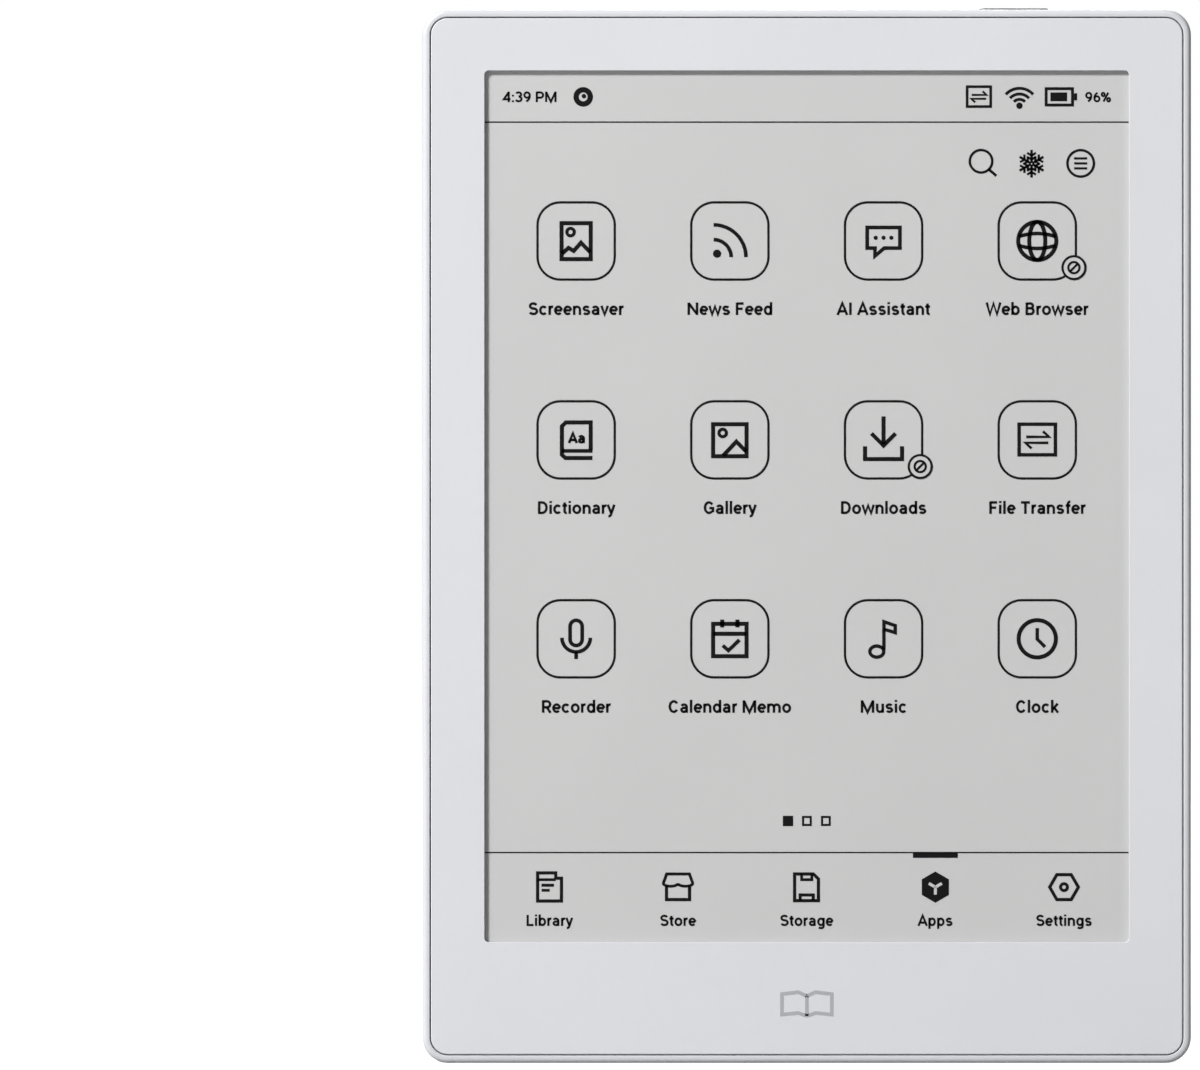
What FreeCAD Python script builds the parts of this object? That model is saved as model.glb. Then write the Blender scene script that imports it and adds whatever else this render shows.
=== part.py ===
import FreeCAD, Part
import math
import os

# A six-inch e-reader standing on its bottom edge.
# X runs to the right seen from the front, Y from the screen to the back, Z up to the top edge.
# The origin is the middle of the bottom edge. All sizes are millimetres.

# screen window and the margins of the front plate around it
window_width = 90.5
window_height = 122.4
side_margin = 8.75
top_margin = 8.6
bottom_margin = 17.0
window_corner = 0.6
window_bevel = 0.05

# housing
side_wall = 1.08
rear_wall = 0.9
corner_radius = 3.6
front_edge_round = 0.72
rear_edge_round = 1.1
rim_bevel = 0.1

# rear face: two shallow panels with a low cross bar between them
panel_depth = 0.12
panel_inset = 1.35
panel_corner = 1.4
panel_slope = 0.2
bar_centre = 23.3
bar_top_slope = 0.75
bar_flat = 0.3
bar_low_slope = 0.3

# layers from the front, in the order they are stacked
lip_thickness = 0.6
gasket_thickness = 0.1
film_thickness = 0.2
touch_thickness = 0.3
guide_thickness = 0.45
paper_thickness = 0.3
glass_thickness = 0.5
tape_thickness = 0.1
frame_thickness = 0.7

# front plate
seam = 0.15
bezel_thickness = 1.1
bezel_bevel = 0.12

# how far each layer reaches past the window
gasket_set_back = 0.25
film_overlap = 1.6
touch_overlap = 2.2
paper_overlap = 1.0
glass_side_overlap = 3.15
glass_top_overlap = 2.9
glass_ledge = 11.5
guide_bottom_overlap = 3.9
layer_clearance = 0.35

# parts behind the mid frame
battery_width = 62.0
battery_height = 76.0
battery_thickness = 2.25
battery_above_board = 6.0
swell_gap = 0.3
board_standoff = 0.25
board_thickness = 0.8
board_height = 40.0
board_bottom = 6.0
board_side_gap = 5.0
tongue_bottom_gap = 0.65
socket_height = 1.55
socket_gap = 0.05

# fasteners
screw_diameter = 1.4
screw_head_diameter = 2.3
screw_head_height = 0.5
screw_hole_clearance = 0.15
thread_clearance = 0.02
boss_diameter = 3.2
boss_wall_gap = 0.65
boss_floor = 0.6
housing_screw_length = 2.5
board_screw_length = 1.7
bracket_screw_length = 1.0
screw_from_end = 12.0
screw_from_middle_end = 52.0
board_screw_edge = 2.85
board_screw_top = 2.8
frame_clearance = 0.3
upstand_wall = 0.8

# power button on the top edge
button_centre = 29.3
button_length = 9.9
button_width = 2.2
button_proud = 0.45
button_travel = 0.35
button_clearance = 0.1
button_flange = 0.8
button_flange_height = 0.5
button_flange_gap = 0.05

# charging port, card slot and microphone on the bottom edge
port_back_gap = 0.07
port_front_gap = 0.1
port_width = 8.94
port_height = 3.16
port_wall = 0.3
port_length = 7.5
port_set_back = 0.35
port_clearance = 0.1
contact_pitch = 0.5
contacts_per_side = 12
card_centre = 27.0
card_width = 11.0
card_thickness = 1.0
card_clearance = 0.15
card_travel = 1.2
microphone_centre = 11.5
microphone_hole = 1.0

# worked-out sizes
body_width = window_width + 2 * side_margin
body_height = window_height + top_margin + bottom_margin
stack = (lip_thickness + gasket_thickness + film_thickness + touch_thickness + guide_thickness
         + paper_thickness + glass_thickness + tape_thickness + frame_thickness)
battery_room = tape_thickness + battery_thickness + swell_gap
socket_room = board_standoff + board_thickness + socket_height + socket_gap
port_room = port_front_gap + port_height + port_back_gap - frame_thickness
parts_room = max(battery_room, socket_room, port_room)
body_thickness = stack + parts_room + rear_wall

front = -body_thickness / 2
back = body_thickness / 2
gasket_front = front + lip_thickness
film_front = gasket_front + gasket_thickness
touch_front = film_front + film_thickness
guide_front = touch_front + touch_thickness
paper_front = guide_front + guide_thickness
glass_front = paper_front + paper_thickness
tape_front = glass_front + glass_thickness
frame_front = tape_front + tape_thickness
frame_back = frame_front + frame_thickness
inner_back = back - rear_wall
bezel_back = front + bezel_thickness
board_front = frame_back + board_standoff
board_back = board_front + board_thickness
port_depth = inner_back - port_back_gap - port_height / 2

half_width = body_width / 2
cavity_half = half_width - side_wall
cavity_low = side_wall
cavity_high = body_height - side_wall
cavity_corner = corner_radius - side_wall
window_half = window_width / 2
window_low = bottom_margin
window_high = body_height - top_margin
board_half = cavity_half - board_side_gap
board_top = board_bottom + board_height
battery_low = board_top + battery_above_board
battery_high = battery_low + battery_height
screw_line = cavity_half - boss_diameter / 2 - boss_wall_gap
glass_low = window_low - glass_ledge
glass_high = window_high + glass_top_overlap
overlap_tool = 1.0


def vector(x, y, z):
    return FreeCAD.Vector(x, y, z)


def block(x0, x1, y0, y1, z0, z1):
    return Part.makeBox(x1 - x0, y1 - y0, z1 - z0, vector(x0, y0, z0))


def rounded_outline(x0, x1, z0, z1, y, radius):
    """Closed wire of a rounded rectangle in the plane of the screen."""
    corners = [(x1 - radius, z0 + radius, -90), (x1 - radius, z1 - radius, 0),
               (x0 + radius, z1 - radius, 90), (x0 + radius, z0 + radius, 180)]
    edges = []
    last = None
    first = None
    for cx, cz, start in corners:
        arc_points = []
        for turn in (0, 45, 90):
            angle = math.radians(start + turn)
            arc_points.append(vector(cx + radius * math.cos(angle), y, cz + radius * math.sin(angle)))
        if last is not None:
            edges.append(Part.LineSegment(last, arc_points[0]).toShape())
        else:
            first = arc_points[0]
        edges.append(Part.Arc(*arc_points).toShape())
        last = arc_points[2]
    edges.append(Part.LineSegment(last, first).toShape())
    return Part.Wire(edges)


def plate(x0, x1, z0, z1, y0, y1, radius):
    face = Part.Face(rounded_outline(x0, x1, z0, z1, y0, radius))
    return face.extrude(vector(0, y1 - y0, 0))


def tapered_pocket(outer, inner, y_outer, y_inner, radius, inner_radius):
    """Rounded rectangle that narrows from outer to inner; both are x0, x1, z0, z1."""
    mouth = rounded_outline(*outer, y_outer, radius)
    floor = rounded_outline(*inner, y_inner, inner_radius)
    return Part.makeLoft([mouth, floor], True, True)


def round_y(x, z, y0, y1, diameter):
    return Part.makeCylinder(diameter / 2, y1 - y0, vector(x, y0, z), vector(0, 1, 0))


def round_z(x, y, z0, z1, diameter):
    return Part.makeCylinder(diameter / 2, z1 - z0, vector(x, y, z0), vector(0, 0, 1))


def pill_z(x, y, width, height, z0, z1):
    """Bar along Z whose section is a slot shape, width along X and height along Y."""
    radius = height / 2
    reach = width / 2 - radius
    middle = block(x - reach, x + reach, y - radius, y + radius, z0, z1)
    ends = [round_z(x + side * reach, y, z0, z1, height) for side in (-1, 1)]
    return middle.multiFuse(ends).removeSplitter()


def edges_in_plane(shape, axis, value, keep=None):
    """Edges that lie wholly in a plane across one axis."""
    found = []
    for edge in shape.Edges:
        box = edge.BoundBox
        low, high = getattr(box, axis + "Min"), getattr(box, axis + "Max")
        if abs(low - value) < 1e-4 and abs(high - value) < 1e-4 and (keep is None or keep(box)):
            found.append(edge)
    return found


def bend_points(points, radii):
    """Tangent points and arc middles for a polyline with rounded corners, as start, middle, end."""
    corners = []
    for before, corner, after, radius in zip(points, points[1:], points[2:], radii):
        to_before = (before - corner).normalize()
        to_after = (after - corner).normalize()
        half = to_before.getAngle(to_after) / 2
        reach = radius / math.tan(half)
        middle_line = (to_before + to_after).normalize()
        centre = corner + middle_line * (radius / math.sin(half))
        corners.append((corner + to_before * reach, centre - middle_line * radius, corner + to_after * reach))
    return corners


def rounded_path(points, radii):
    edges = []
    here = points[0]
    for start, middle, end in bend_points(points, radii):
        if (start - here).Length > 1e-6:
            edges.append(Part.LineSegment(here, start).toShape())
        edges.append(Part.Arc(start, middle, end).toShape())
        here = end
    edges.append(Part.LineSegment(here, points[-1]).toShape())
    return edges


def bent_strip(points, thickness, x0, x1, radius):
    """Flat strip of even thickness, bent in the YZ plane; points are y, z pairs of its middle line."""
    middle = [vector(x0, y, z) for y, z in points]
    sides = []
    for side in (-1, 1):
        offset_points = []
        radii = []
        for index, point in enumerate(middle):
            ways = []
            if index > 0:
                ways.append((point - middle[index - 1]).normalize())
            if index < len(middle) - 1:
                ways.append((middle[index + 1] - point).normalize())
            normals = [vector(0, -way.z, way.y) for way in ways]
            if len(normals) == 1:
                shift = normals[0]
            else:
                total = normals[0] + normals[1]
                shift = total * (2 / (total.Length ** 2))
                turn = ways[0].cross(ways[1]).x
                radii.append(radius - side * math.copysign(1, turn) * thickness / 2)
            offset_points.append(point + shift * (side * thickness / 2))
        sides.append(rounded_path(offset_points, radii) if radii else
                     [Part.LineSegment(*offset_points).toShape()])
    starts = [edges[0].Vertexes[0].Point for edges in sides]
    ends = [edges[-1].Vertexes[-1].Point for edges in sides]
    caps = [Part.LineSegment(*starts).toShape(), Part.LineSegment(*ends).toShape()]
    wire = Part.Wire(Part.__sortEdges__(sides[0] + sides[1] + caps))
    return Part.Face(wire).extrude(vector(x1 - x0, 0, 0))


def wire_run(points, diameter):
    """Round wire along straight runs and tangent arcs, each as large as its runs allow."""
    route = [vector(*point) for point in points]
    radii = []
    for before, corner, after in zip(route, route[1:], route[2:]):
        turn = math.pi - (before - corner).getAngle(after - corner)
        shorter = min((before - corner).Length, (after - corner).Length)
        radii.append(0.45 * shorter / math.tan(turn / 2))
    path = Part.Wire(rounded_path(route, radii))
    section = Part.Wire(Part.Circle(route[0], route[1] - route[0], diameter / 2).toShape())
    print("wire radii", [round(radius, 1) for radius in radii])
    return path.makePipeShell([section], True, False)


def screw_y(x, z, head_y, length, out):
    """Pan-head screw along Y; head_y is under its head and out is +1 or -1, away from the thread."""
    shaft_end = head_y - out * length
    shaft = round_y(x, z, min(head_y, shaft_end), max(head_y, shaft_end), screw_diameter)
    head_top = head_y + out * screw_head_height
    head = round_y(x, z, min(head_y, head_top), max(head_y, head_top), screw_head_diameter)
    head = head.makeChamfer(0.12, edges_in_plane(head, "Y", head_top))
    slot_depth = 0.3
    arm, width = 0.55, 0.28
    low, high = sorted((head_top, head_top - out * slot_depth))
    cross = block(x - arm, x + arm, low, high, z - width / 2, z + width / 2).fuse(
        block(x - width / 2, x + width / 2, low, high, z - arm, z + arm))
    return shaft.fuse(head).cut(cross).removeSplitter()


def save(name, shape):
    solids = shape if isinstance(shape, list) else [shape]
    pieces = [solid for item in solids for solid in item.Solids]
    Part.makeCompound(pieces).exportStep(f"parts/{name}.step")
    print(name, len(pieces), round(sum(piece.Volume for piece in pieces), 2))


# places that several pieces share
housing_screw_heights = [screw_from_end, screw_from_middle_end,
                         body_height - screw_from_middle_end, body_height - screw_from_end]
housing_screw_places = [(side * screw_line, z) for side in (-1, 1) for z in housing_screw_heights]
board_screw_places = [(-board_half + board_screw_edge, board_bottom + 12.0),
                      (board_half - board_screw_edge, board_bottom + 6.0),
                      (-board_half + board_screw_edge + 10.5, board_top - board_screw_top),
                      (card_centre + 3.0, board_top - board_screw_top)]
bracket_screw_place = (button_centre - 4.6, body_height - 4.9)
bracket_lift = 0.12
bracket_thickness = 0.3
magnet_length, magnet_width, magnet_depth = 12.0, 2.4, 1.7
magnet_from_wall = 3.6
magnet_heights = (8.0, 24.0)
magnet_line = cavity_half - magnet_from_wall
magnet_places = [(side * magnet_line, battery_low + up) for side in (-1, 1) for up in magnet_heights]
card_socket_floor = 0.25
card_slot_front = board_back + card_socket_floor
card_slot_high = card_thickness + 2 * card_clearance
card_slot_middle = card_slot_front + card_slot_high / 2
lead_height = 0.55
microphone_depth = board_back + lead_height
display_flex = (-34.0, -10.0)
touch_flex = (-43.0, -37.5)
light_flex = (-47.4, -44.9)
flex_thickness = 0.12
flex_bend = 0.3
flex_under_board = 0.4
flex_pass = min(glass_low, board_bottom - flex_under_board)
display_flex_low = flex_pass - 0.85
touch_flex_low = flex_pass - 2.2
light_flex_low = flex_pass - 1.5
connector_height = 0.9
connector_low = board_bottom + 3.0
flex_end = connector_low + 0.6
flex_entry = board_back + connector_height / 2
button_flex = (button_centre + 11.7, button_centre + 14.7)
button_hole_half = button_length / 2 + button_clearance
switch_low = body_height - 5.4
switch_height = 2.6
flange_high = cavity_high - button_flange_gap
flange_low = flange_high - button_flange_height
foot_low = flange_low - 0.5


def rear_housing():
    shell = plate(-half_width, half_width, 0, body_height, front, back, corner_radius)
    shell = shell.makeFillet(rear_edge_round, edges_in_plane(shell, "Y", back))
    shell = shell.makeFillet(front_edge_round, edges_in_plane(shell, "Y", front))
    cavity = plate(-cavity_half, cavity_half, cavity_low, cavity_high,
                   front - overlap_tool, inner_back, cavity_corner)
    shell = shell.cut(cavity)
    rim = edges_in_plane(shell, "Y", front, lambda box: box.XMin > -cavity_half - 1e-3
                         and box.XMax < cavity_half + 1e-3 and box.ZMin > cavity_low - 1e-3
                         and box.ZMax < cavity_high + 1e-3)
    shell = shell.makeChamfer(rim_bevel, rim)
    for pocket in rear_panels():
        shell = shell.cut(pocket)
    bosses = [round_y(x, z, frame_back, inner_back + 0.01, boss_diameter)
              for x, z in housing_screw_places]
    shell = shell.multiFuse(bosses + magnet_pockets())
    cuts = [round_y(x, z, frame_back - overlap_tool, inner_back - boss_floor,
                    screw_diameter + 2 * thread_clearance) for x, z in housing_screw_places]
    low, high = -overlap_tool, cavity_low + overlap_tool
    port = pill_z(0, port_depth, port_width + 2 * port_clearance, port_height + 2 * port_clearance, low, high)
    relief = 0.25
    port_relief = Part.makeLoft(
        [slot_wire(0, port_depth, port_width + 2 * grow, port_height + 2 * grow, z)
         for grow, z in ((port_clearance + relief, 0), (port_clearance, relief))], True, True)
    card_half = card_width / 2 + 2 * card_clearance
    card = block(-card_half, card_half, -card_slot_high / 2, card_slot_high / 2, low, high)
    card.translate(vector(card_centre, card_slot_middle, 0))
    microphone = round_z(microphone_centre, microphone_depth, low, high, microphone_hole)
    button = pill_z(button_centre, port_depth, 2 * button_hole_half, button_width + 2 * button_clearance,
                    cavity_high - overlap_tool, body_height + overlap_tool)
    for tool in cuts + [port, port_relief, card, microphone, button]:
        shell = shell.cut(tool)
    return shell.removeSplitter()


def slot_wire(x, y, width, height, z):
    radius = height / 2
    reach = width / 2 - radius
    right = Part.Arc(vector(x + reach, y - radius, z), vector(x + reach + radius, y, z),
                     vector(x + reach, y + radius, z)).toShape()
    left = Part.Arc(vector(x - reach, y + radius, z), vector(x - reach - radius, y, z),
                    vector(x - reach, y - radius, z)).toShape()
    top = Part.LineSegment(vector(x + reach, y + radius, z), vector(x - reach, y + radius, z)).toShape()
    low = Part.LineSegment(vector(x - reach, y - radius, z), vector(x + reach, y - radius, z)).toShape()
    return Part.Wire([low, right, top, left])


def rear_panels():
    """The two shallow panels of the rear face; the bar between them slopes gently on its upper side."""
    side = half_width - panel_inset
    bar_high = bar_centre + bar_flat / 2
    bar_low = bar_centre - bar_flat / 2
    mouths = [(panel_inset, bar_low, panel_slope, bar_low_slope),
              (bar_high, body_height - panel_inset, bar_top_slope, panel_slope)]
    pockets = []
    for z0, z1, low_slope, high_slope in mouths:
        mouth = (-side, side, z0, z1)
        floor = (-side + panel_slope, side - panel_slope, z0 + low_slope, z1 - high_slope)
        pockets.append(tapered_pocket(mouth, floor, back, back - panel_depth, panel_corner,
                                      panel_corner - panel_slope))
    return pockets


def magnet_pockets():
    wall, gap = 0.6, 0.1
    frames = []
    for x, z in magnet_places:
        inner = (magnet_width / 2 + gap, magnet_length / 2 + gap)
        outer = (inner[0] + wall, inner[1] + wall)
        height = inner_back - magnet_depth
        ring = block(x - outer[0], x + outer[0], height, inner_back + 0.01, z - outer[1], z + outer[1])
        frames.append(ring.cut(block(x - inner[0], x + inner[0], height - overlap_tool, inner_back,
                                     z - inner[1], z + inner[1])))
    return frames


def front_bezel():
    half = cavity_half - seam
    low, high = cavity_low + seam, cavity_high - seam
    body = plate(-half, half, low, high, front, bezel_back, cavity_corner - seam)
    window = plate(-window_half, window_half, window_low, window_high,
                   front - overlap_tool, bezel_back + overlap_tool, window_corner)
    reach = touch_overlap + layer_clearance
    rebate = plate(-window_half - reach, window_half + reach, window_low - reach, window_high + reach,
                   gasket_front, bezel_back + overlap_tool, window_corner)
    channel = block(touch_flex[0] - layer_clearance, touch_flex[1] + layer_clearance,
                    gasket_front, bezel_back + overlap_tool,
                    touch_flex_low - flex_bend - layer_clearance, window_low)
    body = body.cut(window).cut(rebate).cut(channel).removeSplitter()
    outer_edges = edges_in_plane(body, "Y", front, lambda box: box.XMax > window_half + 1e-3
                                 or box.XMin < -window_half - 1e-3 or box.ZMin > window_high + 1e-3
                                 or box.ZMax < window_low - 1e-3)
    body = body.makeChamfer(bezel_bevel, outer_edges)
    inner_edges = edges_in_plane(body, "Y", front, lambda box: box.XMax < window_half + 1e-3
                                 and box.XMin > -window_half - 1e-3 and box.ZMin > window_low - 1e-3
                                 and box.ZMax < window_high + 1e-3)
    return body.makeChamfer(window_bevel, inner_edges)


def window_layer(y0, thickness, side, below, above, radius=0.5):
    """Flat sheet behind the window that reaches past it by the given distances."""
    return plate(-window_half - side, window_half + side, window_low - below, window_high + above,
                 y0, y0 + thickness, radius)


def bezel_gasket():
    outer = window_layer(gasket_front, gasket_thickness, film_overlap, film_overlap, film_overlap)
    set_back = gasket_set_back
    hole = window_layer(gasket_front - overlap_tool, 2 * overlap_tool + gasket_thickness,
                        set_back, set_back, set_back, window_corner)
    return outer.cut(hole)


def bezel_adhesive():
    outer, inner = upstand_outlines()
    y0, y1 = bezel_back, bezel_back + tape_thickness
    ring = plate(*outer, y0, y1, cavity_corner - frame_clearance)
    hole = plate(*inner, y0 - overlap_tool, y1 + overlap_tool,
                 cavity_corner - frame_clearance - upstand_wall)
    gap_half = button_hole_half + 2
    gap = block(button_centre - gap_half, button_centre + gap_half,
                y0 - overlap_tool, y1 + overlap_tool, inner[3] - overlap_tool, outer[3] + overlap_tool)
    return ring.cut(hole).cut(gap)


def upstand_outlines():
    out = cavity_half - frame_clearance
    low, high = cavity_low + frame_clearance, cavity_high - frame_clearance
    outer = (-out, out, low, high)
    inner = (-out + upstand_wall, out - upstand_wall, low + upstand_wall, high - upstand_wall)
    return outer, inner


def mid_frame():
    outer, inner = upstand_outlines()
    radius = cavity_corner - frame_clearance
    top = bezel_back + tape_thickness
    frame = plate(*outer, top, frame_back, radius)
    frame = frame.cut(plate(*inner, top - overlap_tool, frame_front, radius - upstand_wall))
    rib, gap, rib_height = 0.8, 0.4, 1.2
    tray_half = battery_width / 2 + gap
    tray_low, tray_high = battery_low - gap, battery_high + gap
    ribs = []
    for side in (-1, 1):
        x0, x1 = sorted((side * tray_half, side * (tray_half + rib)))
        ribs.append(block(x0, x1, frame_back, frame_back + rib_height, tray_low + 6, tray_high))
    ribs.append(block(-tray_half - rib, tray_half + rib, frame_back, frame_back + rib_height,
                      tray_high, tray_high + rib))
    posts = [round_y(x, z, frame_back - 0.01, board_front, boss_diameter) for x, z in board_screw_places]
    bracket_x, bracket_z = bracket_screw_place
    posts.append(round_y(bracket_x, bracket_z, frame_back - 0.01, frame_back + bracket_lift, boss_diameter))
    frame = frame.multiFuse(ribs + posts)
    hole = screw_diameter + 2 * screw_hole_clearance
    cuts = [round_y(x, z, top - overlap_tool, frame_back + overlap_tool, hole)
            for x, z in housing_screw_places]
    cuts += [round_y(x, z, frame_front - overlap_tool, board_front + overlap_tool,
                     screw_diameter + 2 * thread_clearance)
             for x, z in board_screw_places + [bracket_screw_place]]
    flex_gap, part_gap = 0.5, 0.7
    cuts.append(block(light_flex[0] - flex_gap, display_flex[1] + flex_gap, frame_front - overlap_tool,
                      frame_back + overlap_tool, touch_flex_low - flex_gap, display_flex_low + flex_gap))
    cuts.append(block(-port_width / 2 - part_gap, port_width / 2 + part_gap, frame_front,
                      frame_back + overlap_tool, -overlap_tool, port_set_back + port_length + part_gap))
    reach = button_length / 2 + button_flange + part_gap
    cuts.append(block(button_centre - reach, button_centre + reach, top - overlap_tool,
                      frame_back + overlap_tool, foot_low, cavity_high))
    # three lightening windows on each side of the battery
    window_length, window_pitch, window_near, window_far, corner = 18.0, 24.0, 1.5, 8.0, 1.5
    for row in range(3):
        z0 = battery_low + 2 + row * window_pitch
        for side in (-1, 1):
            x0, x1 = sorted((side * (tray_half + rib + window_near), side * (tray_half + rib + window_far)))
            cuts.append(plate(x0, x1, z0, z0 + window_length, frame_front - overlap_tool,
                              frame_back + overlap_tool, corner))
    for tool in cuts:
        frame = frame.cut(tool)
    return frame.removeSplitter()


def display_adhesive():
    inset, width = 0.5, 3.0
    side = glass_side_overlap - inset
    outer = (-window_half - side, window_half + side, glass_low + inset, glass_high - inset)
    inner = (outer[0] + width, outer[1] - width, outer[2] + width, outer[3] - width)
    ring = plate(*outer, tape_front, frame_front, 1.0)
    return ring.cut(plate(*inner, tape_front - overlap_tool, frame_front + overlap_tool, 1.0))


def display_driver_chips():
    length, height, thickness, off_centre = 14.0, 1.4, 0.28, 22.0
    low = glass_low + 2.6
    return [block(x - length / 2, x + length / 2, glass_front - thickness, glass_front, low, low + height)
            for x in (-off_centre, off_centre)]


def bonded_flex(x_range, face, top, low):
    """Flex that leaves a bonded ledge, passes under the display and rises to its connector."""
    middle = face - flex_thickness / 2
    return bent_strip([(middle, top), (middle, low), (flex_entry, low), (flex_entry, flex_end)],
                      flex_thickness, *x_range, flex_bend)


def frontlight_strip():
    low, high = window_low - guide_bottom_overlap - 2.2, window_low - guide_bottom_overlap + 0.4
    strip = block(light_flex[0], window_half, paper_front, paper_front + flex_thickness, low, high)
    middle = paper_front + flex_thickness / 2
    tail = bent_strip([(middle, low + 0.5), (middle, light_flex_low), (flex_entry, light_flex_low),
                       (flex_entry, flex_end)], flex_thickness, *light_flex, flex_bend)
    return strip.fuse(tail).removeSplitter()


def frontlight_leds():
    count, length, depth, from_side, guide_gap = 12, 3.0, 1.1, 4.0, 0.1
    pitch = (window_width - 2 * from_side) / (count - 1)
    top = window_low - guide_bottom_overlap - guide_gap
    leds = []
    for index in range(count):
        x = -window_half + from_side + index * pitch
        leds.append(block(x - length / 2, x + length / 2, guide_front, paper_front, top - depth, top))
    return leds


def main_board():
    board = plate(-board_half, board_half, board_bottom, board_top, board_front, board_back, 1.0)
    tongue_low = cavity_low + tongue_bottom_gap
    tongue = block(-port_width / 2 - 2.0, card_centre + card_width / 2 + 11.5, board_front, board_back,
                   tongue_low, board_bottom + 2)
    board = board.fuse(tongue).removeSplitter()
    half = port_width / 2 + 0.13
    cuts = [block(-half, half, board_front - 1, board_back + 1, 0, port_set_back + port_length + 0.4)]
    cuts += [round_y(x, z, board_front - 1, board_back + 1, screw_diameter + 2 * screw_hole_clearance)
             for x, z in board_screw_places]
    for tool in cuts:
        board = board.cut(tool)
    return board


def chip(x0, x1, z0, z1, height, edge=0.08):
    """Chip body on the back of the main board, with its top edges taken off."""
    body = block(x0, x1, board_back, board_back + height, z0, z1)
    return body.makeChamfer(edge, edges_in_plane(body, "Y", board_back + height))


def shield_can(x0, x1, z0, z1, height, wall=0.2):
    can = plate(x0, x1, z0, z1, board_back, board_back + height, 0.6)
    can = can.makeFillet(0.15, edges_in_plane(can, "Y", board_back + height))
    inside = block(x0 + wall, x1 - wall, board_back - 1, board_back + height - wall, z0 + wall, z1 - wall)
    can = can.cut(inside)
    holes, pitch, hole = [], 3.0, 0.9
    for column in range(int((x1 - x0 - 2 * pitch) // pitch) + 1):
        for row in range(2):
            holes.append(round_y(x0 + pitch + pitch * column, z1 - pitch - pitch * row,
                                 board_back, board_back + height + 1, hole))
    return can.cut(Part.makeCompound(holes))


processor_can = (-32.0, -4.0, board_top - 30.0, board_top - 6.0)
power_can = (2.5, 18.5, board_top - 24.0, board_top - 8.0)
wireless_area = (board_half - 12.0, board_half - 1.0, board_top - 22.0, board_top - 8.0)
storage_area = (card_centre - 6.0, card_centre + 5.5, board_top - 23.0, board_top - 10.0)


def board_passives():
    """Rows of small capacitors and resistors in the free strips of the board."""
    strips = [(-31.0, 9, 3.1, board_top - 33.0), (-29.5, 8, 3.1, board_top - 3.8),
              (3.5, 5, 3.0, board_top - 27.0), (20.0, 5, 3.0, board_top - 5.2),
              (-8.0, 3, 2.2, board_bottom + 6.0), (20.5, 4, 3.0, board_top - 25.5)]
    parts = []
    for x_start, count, pitch, z in strips:
        for index in range(count):
            length, width, height = ((1.0, 0.5, 0.5), (0.6, 0.3, 0.3), (1.6, 0.8, 0.7))[index % 3]
            x = x_start + index * pitch
            parts.append(block(x - length / 2, x + length / 2, board_back, board_back + height,
                               z - width / 2, z + width / 2))
    return parts


def flex_connector(x_range, low=None, high=None, end_wall=0.6):
    """Connector with a slot for its flex, open downwards, or upwards where low and high are given."""
    x0, x1 = x_range[0] - 0.1 - end_wall, x_range[1] + 0.1 + end_wall
    z0 = connector_low if low is None else low
    z1 = connector_low + 3.4 if high is None else high
    body = chip(x0, x1, z0, z1, connector_height)
    mouth_low, mouth_high = (z0 - 1, z0 + 0.8) if low is None else (z1 - 0.8, z1 + 1)
    return body.cut(block(x_range[0] - 0.1, x_range[1] + 0.1, flex_entry - 0.1, flex_entry + 0.1,
                          mouth_low, mouth_high))


def usb_shell():
    low, high = port_set_back, port_set_back + port_length
    outer = pill_z(0, port_depth, port_width, port_height, low, high)
    inner = pill_z(0, port_depth, port_width - 2 * port_wall, port_height - 2 * port_wall,
                   low - overlap_tool, high + overlap_tool)
    wing_root, wing_reach, wing_thickness, wing_low, wing_high = 0.35, 1.8, 0.2, 3.2, 6.6
    wings = [block(*sorted((side * (port_width / 2 - wing_root), side * (port_width / 2 + wing_reach))),
                   board_back, board_back + wing_thickness, wing_low, wing_high) for side in (-1, 1)]
    return outer.multiFuse(wings).cut(inner).removeSplitter()


tongue_half, tongue_thickness = 3.35, 0.7


def usb_tongue():
    low, high = port_set_back + 0.9, port_set_back + port_length
    blade = block(-tongue_half, tongue_half, port_depth - tongue_thickness / 2,
                  port_depth + tongue_thickness / 2, low, high)
    blade = blade.makeFillet(0.25, edges_in_plane(blade, "Z", low))
    base = pill_z(0, port_depth, port_width - 2 * port_wall, port_height - 2 * port_wall, high - 1.8, high)
    return base.fuse(blade).removeSplitter()


def usb_contacts():
    low, high = port_set_back + 1.5, port_set_back + port_length - 1.8
    width, thickness = 0.26, 0.05
    contacts = []
    for side in (-1, 1):
        face = port_depth + side * tongue_thickness / 2
        y0, y1 = sorted((face, face + side * thickness))
        for index in range(contacts_per_side):
            x = (index - (contacts_per_side - 1) / 2) * contact_pitch
            contacts.append(block(x - width / 2, x + width / 2, y0, y1, low, high))
    return contacts


# card socket: floor and rails of plastic, a steel cover and a sprung slider beside the card
card_cover = 0.15
card_x0 = card_centre - card_width / 2 - card_clearance
card_x1 = card_centre + card_width / 2 + card_clearance
socket_low = cavity_low + 0.2
card_stop = 15.4
arm_high = card_stop + 0.9
socket_high = arm_high + card_travel + 2.1
slider_width, rail = 1.5, 0.7
channel_x1 = card_x1 + slider_width + 0.1
cover_front = board_back + socket_height - card_cover
slider_low = 8.6


def card_socket_base():
    body = block(card_x0 - rail, channel_x1 + rail, board_back, cover_front, socket_low, socket_high)
    card_room = block(card_x0, card_x1, card_slot_front, cover_front + 1, 0, arm_high + card_travel + 0.3)
    channel = block(card_x1 - 0.1, channel_x1, card_slot_front, cover_front + 1, slider_low - 0.1,
                    socket_high - 0.8)
    return body.cut(card_room).cut(channel)


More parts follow.
